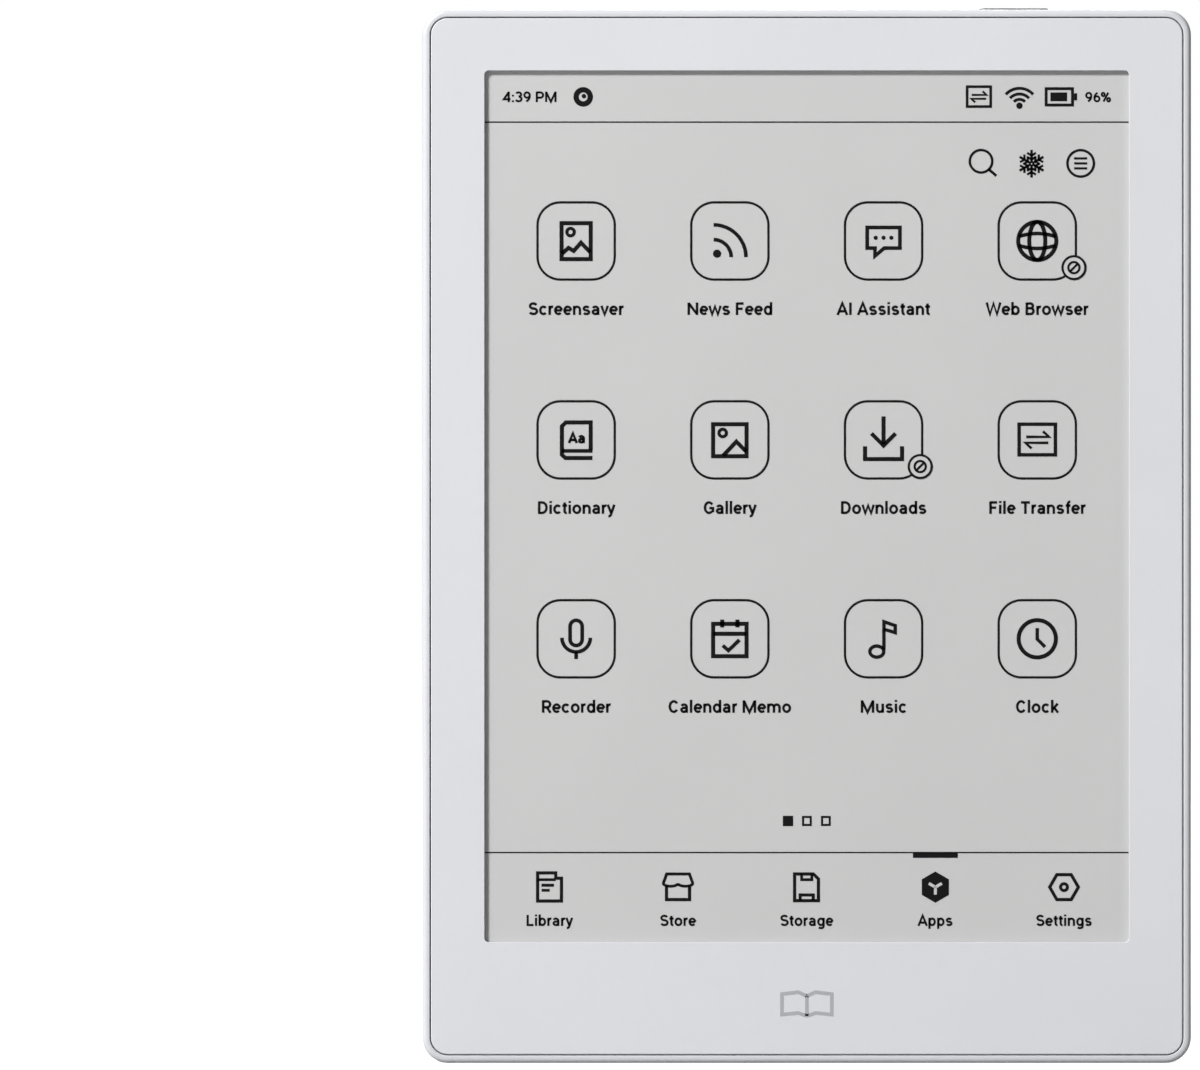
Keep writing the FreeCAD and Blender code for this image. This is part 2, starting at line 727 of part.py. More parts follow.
def card_socket_cover():
    top = block(card_x0 - rail, channel_x1 + rail, cover_front, cover_front + card_cover,
                socket_low, socket_high)
    slots = [plate(x - 0.5, x + 0.5, 5.0, 10.0, cover_front - 1, cover_front + 1, 0.3)
             for x in (card_centre - 4.0, card_centre, card_centre + 4.0)]
    thickness = 0.12
    sides = [block(x0, x0 + thickness, board_back, cover_front + card_cover, socket_low + 1, socket_high - 1)
             for x0 in (card_x0 - rail - thickness, channel_x1 + rail)]
    cover = top.multiFuse(sides).removeSplitter()
    return cover.cut(Part.makeCompound(slots))


def card_contacts():
    count, pitch, width = 8, 1.1, 0.5
    return [bent_strip([(card_slot_front + 0.05, 8.2), (card_slot_front + 0.05, 11.0),
                        (card_slot_front + 0.35, 12.6), (card_slot_front + 0.12, 13.4)], 0.1,
                       card_centre + (index - (count - 1) / 2) * pitch - width / 2,
                       card_centre + (index - (count - 1) / 2) * pitch + width / 2, 0.2)
            for index in range(count)]


def card_slider():
    """Slider beside the card with an arm that reaches behind the card's inner end."""
    y0, y1 = card_slot_front + 0.06, cover_front - 0.06
    body = block(card_x1 + 0.05, channel_x1 - 0.06, y0, y1, slider_low, arm_high)
    arm = block(card_x1 - 2.6, card_x1 + 0.2, y0, y1, card_stop + 0.1, arm_high)
    cam = block(card_x1 + 0.4, channel_x1 - 0.45, y1 - 0.35, y1 + 0.1, slider_low + 1.2, slider_low + 4.2)
    return body.fuse(arm).cut(cam).removeSplitter()


def card_slider_spring():
    """Compression spring between the slider and the end of its channel."""
    low, high = arm_high + 0.05, socket_high - 0.85
    wire, radius, turns = 0.14, 0.36, 4
    x, y = (card_x1 + channel_x1) / 2, (card_slot_front + cover_front) / 2
    helix = Part.makeHelix((high - low - wire) / turns, high - low - wire, radius)
    helix.translate(vector(x, y, low + wire / 2))
    start = vector(x + radius, y, low + wire / 2)
    section = Part.Wire(Part.Circle(start, vector(0, 1, 0), wire / 2).toShape())
    return Part.Wire(helix).makePipeShell([section], True, True)


microphone_gasket_length = 2.0


def microphone():
    half, length, height, hole = 1.8, 2.7, 1.0, 0.5
    low = cavity_low + microphone_gasket_length
    body = chip(microphone_centre - half, microphone_centre + half, low, low + length, height)
    port = round_z(microphone_centre, microphone_depth, low - 1, low + 0.6, hole)
    return body.cut(port)


def microphone_gasket():
    half, height, hole = 1.5, 1.15, 0.8
    body = block(microphone_centre - half, microphone_centre + half, board_back, board_back + height,
                 cavity_low, cavity_low + microphone_gasket_length)
    return body.cut(round_z(microphone_centre, microphone_depth, 0, cavity_low + 3, hole))


def battery_cell():
    y0 = frame_back + tape_thickness
    cell = block(-battery_width / 2, battery_width / 2, y0, y0 + battery_thickness, battery_low, battery_high)
    upright = [edge for edge in cell.Edges if edge.BoundBox.ZLength > battery_height - 1]
    return cell.makeFillet(0.8, upright)


protection_board_width = 2.4


def battery_protection_board():
    half, y0, y1 = 9.0, frame_back + 0.4, frame_back + 1.0
    return block(-half, half, y0, y1, battery_low - protection_board_width, battery_low)


battery_plug = (-1.5, 5.5, board_top - 5.6, board_top - 2.2)
lead_plane = board_back + lead_height


def battery_leads():
    start = battery_low - protection_board_width
    end = battery_plug[3]
    span = start - end
    pitch, shift, diameter = 1.6, 2.0, 0.7
    leads = []
    for index in (-1, 0, 1):
        x = pitch * index
        points = [(x, lead_plane, start), (x, lead_plane, start - 0.3 * span),
                  (x + shift, lead_plane, start - 0.75 * span), (x + shift, lead_plane, end)]
        leads.append(wire_run(points, diameter))
    return leads


def power_button_cap():
    bar = pill_z(button_centre, port_depth, button_length, button_width, flange_high,
                 body_height + button_proud)
    bar = bar.makeFillet(0.35, edges_in_plane(bar, "Z", body_height + button_proud))
    flange = pill_z(button_centre, port_depth, button_length + 2 * button_flange, button_width + 0.8,
                    flange_low, flange_high)
    foot = block(button_centre - 1.2, button_centre + 1.2, port_depth - 0.6, port_depth + 0.6,
                 foot_low, flange_low + 0.1)
    return bar.multiFuse([flange, foot]).removeSplitter()


switch_front = frame_back + flex_thickness
actuator_half, actuator_depth = 0.8, 0.5
actuator_gap = 0.1
switch_floor = switch_low + 1.1
dome_floor = switch_low + 0.6
actuator_low = switch_floor + button_travel + 0.15


def power_switch_body():
    x, y0 = button_centre, switch_front
    half, depth = 2.2, 1.9
    body = block(x - half, x + half, y0, y0 + depth, switch_low, switch_low + switch_height)
    well_half, well_depth = actuator_half + actuator_gap, actuator_depth + actuator_gap
    well = block(x - well_half, x + well_half, port_depth - well_depth, port_depth + well_depth,
                 switch_floor, switch_low + switch_height + 1)
    room_half, room_depth = 1.4, 0.7
    dome_room = block(x - room_half, x + room_half, port_depth - room_depth, port_depth + room_depth,
                      dome_floor, switch_floor + 0.1)
    return body.cut(well).cut(dome_room)


def power_switch_actuator():
    return block(button_centre - actuator_half, button_centre + actuator_half,
                 port_depth - actuator_depth, port_depth + actuator_depth, actuator_low, foot_low)


def power_switch_dome():
    """Snap dome under the actuator: a thin strip bowed upwards."""
    half, rise, thickness, depth = 1.2, 0.8, 0.08, 0.4
    front_plane = port_depth - depth

    def bow(reach, high):
        return Part.Arc(vector(button_centre - reach, front_plane, dome_floor),
                        vector(button_centre, front_plane, dome_floor + high),
                        vector(button_centre + reach, front_plane, dome_floor)).toShape()

    ends = [Part.LineSegment(vector(button_centre + side * half, front_plane, dome_floor),
                             vector(button_centre + side * (half + thickness), front_plane,
                                    dome_floor)).toShape() for side in (-1, 1)]
    wire = Part.Wire(Part.__sortEdges__([bow(half, rise), bow(half + thickness, rise + thickness)] + ends))
    return Part.Face(wire).extrude(vector(0, 2 * depth, 0))


def power_switch_flex():
    """Flex from the side switch along the battery to its connector on the main board."""
    y0, y1 = frame_back, frame_back + flex_thickness
    x0, x1 = button_flex
    head_low = body_height - 8.4
    head = block(button_centre - 2.6, x1, y0, y1, head_low, head_low + 3.0 + switch_height)
    head = head.cut(block(button_centre + 4.5, x1 + 1, y0 - 1, y1 + 1, head_low + 3.0,
                          head_low + 3.2 + switch_height))
    turn = board_top + 1.4
    middle = (y0 + y1) / 2
    run = bent_strip([(middle, head_low + 1.0), (middle, turn), (flex_entry, turn),
                      (flex_entry, board_top - 2.9)], flex_thickness, x0, x1, flex_bend)
    return head.fuse(run).removeSplitter()


def power_switch_bracket():
    x, z = bracket_screw_place
    y0 = frame_back + bracket_lift
    foot = plate(x - 1.9, button_centre - 2.3, z - 1.6, z + 1.6, y0, y0 + bracket_thickness, 0.5)
    foot = foot.cut(round_y(x, z, y0 - 1, y0 + 1, screw_diameter + 2 * screw_hole_clearance))
    shelf = block(button_centre - 2.6, button_centre + 2.2, y0, y0 + 1.9, switch_low - 0.4, switch_low)
    link = block(button_centre - 2.7, button_centre - 2.3, y0, y0 + 1.9, switch_low - 0.4, z + 1.6)
    return foot.multiFuse([shelf, link]).removeSplitter()


antenna_area = (-44.0, -14.0, body_height - 17.0, body_height - 5.0)


def wireless_antenna():
    x0, x1, z0, z1 = antenna_area
    sheet = plate(x0, x1, z0, z1, inner_back - flex_thickness, inner_back, 0.8)
    slot = plate(x0 + 6, x1 - 3, z0 + 4.5, z0 + 6.0, inner_back - 1, inner_back + 1, 0.5)
    return sheet.cut(slot)


coax_diameter = 0.8
coax_socket_height = 0.65
coax_plane = board_back + coax_socket_height + coax_diameter / 2


def antenna_coax():
    x, top = antenna_area[0] + 4, antenna_area[2] + 1.5
    low = board_top - 2.4
    span = top - low
    shares = [(0.0, 0.0), (0.0, 0.10), (2.6, 0.30), (-0.6, 0.52), (2.4, 0.73), (1.0, 0.90), (1.0, 1.0)]
    return wire_run([(x + shift, coax_plane, top - share * span) for shift, share in shares], coax_diameter)


def antenna_connector():
    half, base_height, ring = 1.3, 0.3, 2.0
    x, z = antenna_area[0] + 5, board_top - 2.4
    base = block(x - half, x + half, board_back, board_back + base_height, z - half, z + half)
    return base.fuse(round_y(x, z, board_back + 0.2, board_back + coax_socket_height, ring))


def battery_adhesive():
    width, off_centre, inset = 14.0, 16.0, 4.0
    return [block(x - width / 2, x + width / 2, frame_back, frame_back + tape_thickness,
                  battery_low + inset, battery_high - inset) for x in (-off_centre, off_centre)]


def cover_magnets():
    magnets = []
    for x, z in magnet_places:
        magnet = block(x - magnet_width / 2, x + magnet_width / 2, inner_back - magnet_depth, inner_back,
                       z - magnet_length / 2, z + magnet_length / 2)
        magnets.append(magnet.makeChamfer(0.15, magnet.Edges))
    return magnets


def graphite_sheet():
    """Heat spreader on the rear wall over the processor can."""
    x0, x1, z0, z1 = processor_can
    return plate(x0, x1, z0, z1, inner_back - 0.1, inner_back, 1.0)


def hall_sensor():
    half, half_length, height, below_top = 0.8, 1.4, 0.7, 20.0
    x, y0, z = sum(button_flex) / 2, frame_back + flex_thickness, battery_high - below_top
    return block(x - half, x + half, y0, y0 + height, z - half_length, z + half_length)


parts = {
    "rear_housing": rear_housing,
    "front_bezel": front_bezel,
    "bezel_gasket": bezel_gasket,
    "bezel_adhesive": bezel_adhesive,
    "cover_film": lambda: window_layer(film_front, film_thickness, film_overlap, film_overlap, film_overlap),
    "touch_sensor": lambda: window_layer(touch_front, touch_thickness, touch_overlap, touch_overlap,
                                         touch_overlap),
    "frontlight_guide": lambda: window_layer(guide_front, guide_thickness, touch_overlap,
                                             guide_bottom_overlap, touch_overlap),
    "epaper_film": lambda: window_layer(paper_front, paper_thickness, paper_overlap, paper_overlap,
                                        paper_overlap),
    "display_backplane": lambda: window_layer(glass_front, glass_thickness, glass_side_overlap,
                                              glass_ledge, glass_top_overlap),
    "display_adhesive": display_adhesive,
    "display_driver_chips": display_driver_chips,
    "display_flex": lambda: bonded_flex(display_flex, glass_front, glass_low + 2.0, display_flex_low),
    "touch_flex": lambda: bonded_flex(touch_flex, touch_front, window_low - touch_overlap + 0.55,
                                      touch_flex_low),
    "frontlight_strip": frontlight_strip,
    "frontlight_leds": frontlight_leds,
    "mid_frame": mid_frame,
    "housing_screws": lambda: [screw_y(x, z, frame_front, housing_screw_length, -1)
                               for x, z in housing_screw_places],
    "main_board": main_board,
    "board_screws": lambda: [screw_y(x, z, board_back, board_screw_length, 1)
                             for x, z in board_screw_places]
    + [screw_y(*bracket_screw_place, frame_back + bracket_lift + bracket_thickness,
               bracket_screw_length, 1)],
    "shield_can_processor": lambda: shield_can(*processor_can, 1.3),
    "shield_can_power": lambda: shield_can(*power_can, 1.3),
    "processor_chip": lambda: chip(processor_can[0] + 2, processor_can[0] + 15, processor_can[2] + 5.5,
                                   processor_can[2] + 18.5, 0.85),
    "memory_chip": lambda: chip(processor_can[1] - 10.5, processor_can[1] - 1.5, processor_can[2] + 5.5,
                                processor_can[2] + 18.5, 0.85),
    "power_chip": lambda: chip(power_can[0] + 4.5, power_can[0] + 11.5, power_can[2] + 4.5,
                               power_can[2] + 11.5, 0.75),
    "storage_chip": lambda: chip(*storage_area, 0.9),
    "wireless_module": lambda: chip(*wireless_area, 1.3, 0.15),
    "board_passives": board_passives,
    "display_connector": lambda: flex_connector(display_flex),
    "touch_connector": lambda: flex_connector(touch_flex),
    "frontlight_connector": lambda: flex_connector(light_flex, end_wall=0.3),
    "button_connector": lambda: flex_connector(button_flex, board_top - 5.4, board_top - 2.3),
    "battery_connector": lambda: chip(*battery_plug, 1.2),
    "antenna_connector": antenna_connector,
    "usb_shell": usb_shell,
    "usb_tongue": usb_tongue,
    "usb_contacts": usb_contacts,
    "card_socket_base": card_socket_base,
    "card_socket_cover": card_socket_cover,
    "card_contacts": card_contacts,
    "card_slider": card_slider,
    "card_slider_spring": card_slider_spring,
    "microphone": microphone,
    "microphone_gasket": microphone_gasket,
    "battery_cell": battery_cell,
    "battery_protection_board": battery_protection_board,
    "battery_leads": battery_leads,
    "battery_adhesive": battery_adhesive,
    "power_button_cap": power_button_cap,
    "power_switch_body": power_switch_body,
    "power_switch_actuator": power_switch_actuator,
    "power_switch_dome": power_switch_dome,
    "power_switch_flex": power_switch_flex,
    "power_switch_bracket": power_switch_bracket,
    "hall_sensor": hall_sensor,
    "graphite_sheet": graphite_sheet,
    "wireless_antenna": wireless_antenna,
    "antenna_coax": antenna_coax,
    "cover_magnets": cover_magnets,
}

os.makedirs("parts", exist_ok=True)
print("body", body_width, body_height, round(body_thickness, 3))
for node, make in parts.items():
    save(node, make())
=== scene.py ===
import math
import bpy
import bmesh
from mathutils import Matrix, Vector


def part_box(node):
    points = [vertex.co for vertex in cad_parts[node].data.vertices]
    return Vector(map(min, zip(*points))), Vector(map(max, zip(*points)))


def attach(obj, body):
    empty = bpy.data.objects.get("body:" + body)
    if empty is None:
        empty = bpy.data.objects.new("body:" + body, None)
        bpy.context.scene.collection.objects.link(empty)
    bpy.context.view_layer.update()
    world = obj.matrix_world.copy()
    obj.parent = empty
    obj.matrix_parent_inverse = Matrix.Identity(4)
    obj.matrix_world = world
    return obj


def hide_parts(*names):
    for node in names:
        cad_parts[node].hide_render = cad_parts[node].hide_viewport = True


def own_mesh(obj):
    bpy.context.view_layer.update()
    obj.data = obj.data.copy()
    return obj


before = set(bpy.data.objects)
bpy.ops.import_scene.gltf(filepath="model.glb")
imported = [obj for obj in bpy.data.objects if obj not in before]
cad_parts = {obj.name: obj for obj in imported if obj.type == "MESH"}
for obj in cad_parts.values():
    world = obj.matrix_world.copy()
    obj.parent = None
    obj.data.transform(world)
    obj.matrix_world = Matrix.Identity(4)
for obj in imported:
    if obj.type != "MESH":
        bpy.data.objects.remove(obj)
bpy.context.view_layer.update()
print("reader frame loaded,", len(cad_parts), "pieces")

mm = 0.001
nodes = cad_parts


# places taken from the frame
filmLow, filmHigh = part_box("cover_film")
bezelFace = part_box("front_bezel")[0].y
housingLow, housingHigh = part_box("rear_housing")
housingMid = (housingLow + housingHigh) / 2
filmOverlap = 1.6 * mm
screen = {
    "left": filmLow.x + filmOverlap,
    "right": filmHigh.x - filmOverlap,
    "low": filmLow.z + filmOverlap,
    "top": filmHigh.z - filmOverlap,
    "face": filmLow.y,
}
screenMid = (screen["left"] + screen["right"]) / 2


def addObject(name, data):
    made = bpy.data.objects.new(name, data)
    bpy.context.scene.collection.objects.link(made)
    return made


def addNode(tree, kind, wires=None, out=0, **settings):
    # a wire is another node's output or a plain value; gives back the chosen output
    made = tree.nodes.new(kind)
    for key, value in settings.items():
        setattr(made, key, value)
    for key, source in (wires or {}).items():
        if isinstance(source, bpy.types.NodeSocket):
            tree.links.new(source, made.inputs[key])
        else:
            made.inputs[key].default_value = source
    return made.outputs[out]


def mapRange(tree, value, low, high, start, end):
    spans = {"Value": value, "From Min": low, "From Max": high, "To Min": start, "To Max": end}
    return addNode(tree, "ShaderNodeMapRange", spans)


# camera, lights and floor
shot = {
    "lens": 200.0,
    "sensor": 36.0,
    "viewWidth": 168.5 * mm,   # what the view spans at the front of the reader
    "aside": -29.04 * mm,      # the reader stands right of the middle of the view
    "raise": 0.18 * mm,
    "near": 0.05,
    "far": 20.0,
}


def makeCamera():
    camData = bpy.data.cameras.new("readerCamera")
    camData.lens = shot["lens"]
    camData.sensor_width = shot["sensor"]
    camData.clip_start = shot["near"]
    camData.clip_end = shot["far"]
    cam = addObject("readerCamera", camData)
    distance = shot["viewWidth"] * shot["lens"] / shot["sensor"]
    cam.location = (housingMid.x + shot["aside"], housingLow.y - distance, housingMid.z + shot["raise"])
    cam.rotation_euler = (math.radians(90), 0, 0)
    bpy.context.scene.camera = cam


studio = {
    "white": (1, 1, 1, 1),
    "tint": (1, 0.995, 0.985),
    "keyPlace": (-1.32, -1.3, 1.38),
    "lampSize": 0.45,
    "keyPower": 75.0,
    "backPlace": (0.0, 0.95, 0.75),
    "backPower": 12.0,
    "domeDim": 0.0,
    "domeBright": 0.25,
    "domeAim": (-0.62, -0.12, 0.62),   # where the soft dome is brightest
    "domeFrom": -0.3,
    "domeTo": 0.9,
    "floorSize": 6.0,
    "floorTone": 0.38,
    "floorRoughness": 0.9,
    "floorGlow": 0.95,                 # keeps the floor evenly pale in the view
}


def makeAreaLight(name, place, power):
    data = bpy.data.lights.new(name, "AREA")
    data.shape = "SQUARE"
    data.size = studio["lampSize"]
    data.energy = power
    data.color = studio["tint"]
    lamp = addObject(name, data)
    lamp.location = place
    lamp.rotation_mode = "QUATERNION"
    lamp.rotation_quaternion = (Vector(place) - housingMid).to_track_quat("Z", "Y")


def makeStudio():
    makeAreaLight("keyLight", studio["keyPlace"], studio["keyPower"])
    makeAreaLight("backLight", studio["backPlace"], studio["backPower"])
    world = bpy.data.worlds.new("paleStudio")
    bpy.context.scene.world = world
    world.use_nodes = True
    tree = world.node_tree
    tree.nodes.clear()
    aim = addNode(tree, "ShaderNodeVectorMath", {
        0: addNode(tree, "ShaderNodeTexCoord", out="Generated"),
        1: Vector(studio["domeAim"]).normalized(),
    }, out="Value", operation="DOT_PRODUCT")
    level = mapRange(tree, aim, studio["domeFrom"], studio["domeTo"], studio["domeDim"], studio["domeBright"])
    dome = addNode(tree, "ShaderNodeBackground", {"Color": studio["white"], "Strength": level})
    backdrop = addNode(tree, "ShaderNodeBackground", {"Color": studio["white"], "Strength": 1.0})
    seen = addNode(tree, "ShaderNodeLightPath", out="Is Camera Ray")
    mixed = addNode(tree, "ShaderNodeMixShader", {"Fac": seen, 1: dome, 2: backdrop})
    tree.links.new(mixed, tree.nodes.new("ShaderNodeOutputWorld").inputs["Surface"])
    bpy.context.scene.view_settings.view_transform = "Standard"


def makeFloor():
    half = studio["floorSize"] / 2
    mesh = bpy.data.meshes.new("paleFloor")
    corners = [(-half, -half, 0), (half, -half, 0), (half, half, 0), (-half, half, 0)]
    mesh.from_pydata(corners, [], [(0, 1, 2, 3)])
    floor = addObject("paleFloor", mesh)
    material = bpy.data.materials.new("palePaperFloor")
    material.use_nodes = True
    tree = material.node_tree
    shader = tree.nodes["Principled BSDF"]
    shader.inputs["Base Color"].default_value = (*[studio["floorTone"]] * 3, 1)
    shader.inputs["Roughness"].default_value = studio["floorRoughness"]
    shader.inputs["Emission Color"].default_value = studio["white"]
    seen = addNode(tree, "ShaderNodeLightPath", out="Is Camera Ray")
    glow = addNode(tree, "ShaderNodeMath", {0: seen, 1: studio["floorGlow"]}, operation="MULTIPLY")
    tree.links.new(glow, shader.inputs["Emission Strength"])
    mesh.materials.append(material)


makeCamera()
makeStudio()
makeFloor()
print("camera, studio light and floor ready")


# material building blocks
class Finish:
    # one node material: a Principled shader with colour, grain and gloss variation on object coordinates
    def __init__(self, name, base, roughness, metallic=0.0):
        self.material = bpy.data.materials.new(name)
        self.material.use_nodes = True
        self.tree = self.material.node_tree
        self.shader = self.tree.nodes["Principled BSDF"]
        self.roughness = roughness
        self.set(Base_Color=(*base, 1), Roughness=roughness, Metallic=metallic)
        self.place = self.add("TexCoord", out="Object")
        self.normal = None

    def set(self, **sockets):
        for key, value in sockets.items():
            self.shader.inputs[key.replace("_", " ")].default_value = value

    def add(self, kind, wires=None, out=0, **settings):
        return addNode(self.tree, "ShaderNode" + kind, wires, out, **settings)

    def feed(self, value, key):
        self.tree.links.new(value, self.shader.inputs[key])

    def placed(self, scale=(1, 1, 1)):
        return self.add("Mapping", {"Vector": self.place, "Scale": scale})

    # patterns: size is the length of one blotch, cell or wave in metres
    def noise(self, size, detail=3.0, stretch=(1, 1, 1)):
        wires = {"Scale": 1.0 / size, "Detail": detail, "Vector": self.placed(stretch)}
        return self.add("TexNoise", wires, out="Fac")

    def cells(self, size, metric="EUCLIDEAN"):
        wires = {"Scale": 1.0 / size, "Vector": self.placed()}
        return self.add("TexVoronoi", wires, out="Distance", distance=metric)

    def wave(self, size, axis="X"):
        wires = {"Scale": math.pi * 2 / 20 / size, "Distortion": 0.0, "Vector": self.placed()}
        return self.add("TexWave", wires, out="Fac", bands_direction=axis)

    def along(self, way):
        # how far each point lies along a direction
        wires = {0: self.place, 1: way}
        return self.add("VectorMath", wires, out="Value", operation="DOT_PRODUCT")

    def ramp(self, value, low, high, start, end):
        return mapRange(self.tree, value, low, high, start, end)

    def tint(self, value, other, low=0.35, high=0.65):
        # blends from the present colour to another where value rises from low to high
        socket = self.shader.inputs["Base Color"]
        wires = {
            "A": socket.links[0].from_socket if socket.links else tuple(socket.default_value),
            "B": (*other, 1),
            "Factor": self.ramp(value, low, high, 0.0, 1.0),
        }
        self.feed(self.add("Mix", wires, out="Result", data_type="RGBA"), "Base Color")

    def gloss(self, value, spread, low=0.3, high=0.7):
        self.feed(self.ramp(value, low, high, self.roughness - spread, self.roughness + spread), "Roughness")

    def bump(self, value, height, strength=1.0):
        # height in metres; several bumps are chained
        wires = {"Distance": height, "Strength": strength, "Height": value}
        if self.normal:
            wires["Normal"] = self.normal
        self.normal = self.add("Bump", wires, out="Normal")
        self.feed(self.normal, "Normal")


def paint(material, *names):
    # gives a finish to CAD pieces by name
    for name in names:
        mesh = nodes[name].data
        mesh.materials.clear()
        mesh.materials.append(material)
        for face in mesh.polygons:
            face.material_index = 0


def makeFinish(name, base, roughness, tints, gloss, bumps, on=(), metallic=0.0, **sockets):
    # each tint, gloss and bump starts with its pattern: kind, size in millimetres and own settings.
    # a tint goes on with colour and span, a gloss with its spread, a bump with height (mm) and strength
    look = Finish(name, base, roughness, metallic)

    def pattern(kind, size, *more):
        return getattr(look, kind)(size * mm, *more)

    for shape, colour, *span in tints:
        look.tint(pattern(*shape), colour, *span)
    look.gloss(pattern(*gloss[0]), gloss[1])
    for shape, height, strength in bumps:
        look.bump(pattern(*shape), height * mm, strength)
    look.set(**sockets)
    paint(look.material, *on)
    return look


# moulded plastic of the outside: base, shade, roughness, grain and its height in millimetres
shellCloud = 34
shells = {
    "rear_housing": ("paleHousingPlastic", (0.585, 0.595, 0.627), (0.562, 0.572, 0.604), 0.46, 0.16, 0.01),
    "front_bezel": ("paleBezelPlastic", (0.626, 0.632, 0.662), (0.606, 0.612, 0.643), 0.48, 0.144, 0.009),
    # the power button is coloured dark grey all over, much darker than the pale body
    "power_button_cap": ("darkGreyButtonPlastic", (0.085, 0.087, 0.094), (0.07, 0.072, 0.078), 0.4, 0.128,
                         0.006),
}


def paintShell():
    # fine spark-eroded mould texture with faint cloudy shade and gloss changes
    for piece, (name, base, shade, roughness, grain, height) in shells.items():
        makeFinish(name, base, roughness,
                   [(("noise", shellCloud, 2.0), shade, 0.3, 0.72),
                    (("noise", 0.9, 4.0), shade, 0.52, 0.95)],
                   (("noise", 6, 3.0), 0.035),
                   [(("noise", grain * 4, 2.0), height * 0.8, 0.35), (("cells", grain), height, 0.55)],
                   [piece], IOR=1.49)


screenLook = {
    "paper": (0.52, 0.519, 0.523),
    "speckle": (0.497, 0.496, 0.5),
    # painted shade: the darker grey the screen takes on towards its right edge, away from the light
    "paintedRightEdgeShade": (0.488, 0.487, 0.491),
    "paintedShadeReach": 3 * mm,
    "ink": (0.004, 0.004, 0.0044),
    "inkSpeckle": (0.009, 0.009, 0.01),
    "roughness": 0.52,
}


def paintScreen():
    # pigment speckle and anti-glare etching, with painted shade darkening the screen towards its right edge
    speckle = screenLook["speckle"]
    look = makeFinish("paperGreyScreen", screenLook["paper"], screenLook["roughness"],
                      [(("noise", 0.1, 2.0), speckle, 0.4, 0.75),
                       (("noise", 26, 2.0), speckle, 0.35, 0.9)],
                      (("noise", 9, 2.0), 0.03), [(("cells", 0.09), 0.003, 0.4)], ["cover_film"], IOR=1.45)
    # painted shade: over the last few millimetres the paper grey darkens towards the right edge, where less
    # light falls
    edge = screen["right"] - screenLook["paintedShadeReach"]
    paintedShadeRamp = look.ramp(look.along((1, 0, 0)), edge, screen["right"], 0.0, 1.0)
    look.tint(paintedShadeRamp, screenLook["paintedRightEdgeShade"], 0.0, 1.0)
    return look.material


def makeInk():
    look = makeFinish("displayInk", screenLook["ink"], screenLook["roughness"],
                      [(("noise", 0.07, 2.0), screenLook["inkSpeckle"], 0.45, 0.75)],
                      (("noise", 5, 2.0), 0.03), [(("cells", 0.09), 0.002, 0.3)],
                      IOR=1.45, Specular_IOR_Level=0.15)
    return look.material


def makeMarkInk():
    # soft grey pad print of the small front mark
    look = makeFinish("greyPadPrint", (0.36, 0.364, 0.384), 0.42,
                      [(("noise", 0.12, 3.0), (0.4, 0.404, 0.424), 0.45, 0.8)],
                      (("noise", 1.2, 2.0), 0.04), [(("noise", 0.1, 2.0), 0.004, 0.5)])
    return look.material


paintShell()
paperMaterial = paintScreen()
inkMaterial = makeInk()
markMaterial = makeMarkInk()
print("shell and screen finishes ready")


# finishes of the parts inside
def polymer(name, base, shade, roughness, grain, height, on=(), **sockets):
    return makeFinish(name, base, roughness, [(("noise", grain * 14, 3.0), shade, 0.35, 0.75)],
                      (("noise", grain * 30, 2.0), 0.05), [(("cells", grain), height, 0.6)], on, **sockets)


def metal(name, base, shade, roughness, brush, height, stretch=(1, 1, 1), on=()):
    # rolled or plated metal: fine streaks along the stretch, cloudy tarnish and uneven gloss
    return makeFinish(name, base, roughness, [(("noise", brush * 60, 3.0), shade, 0.35, 0.75)],
                      (("noise", brush * 24, 3.0), 0.07), [(("noise", brush, 3.0, stretch), height, 0.6)],
                      on, metallic=1.0)


columns = (0.8, 0.83, 0.83)
wiring = (0.33, 0.31, 0.24)
tracks = (0.018, 0.09, 0.05)
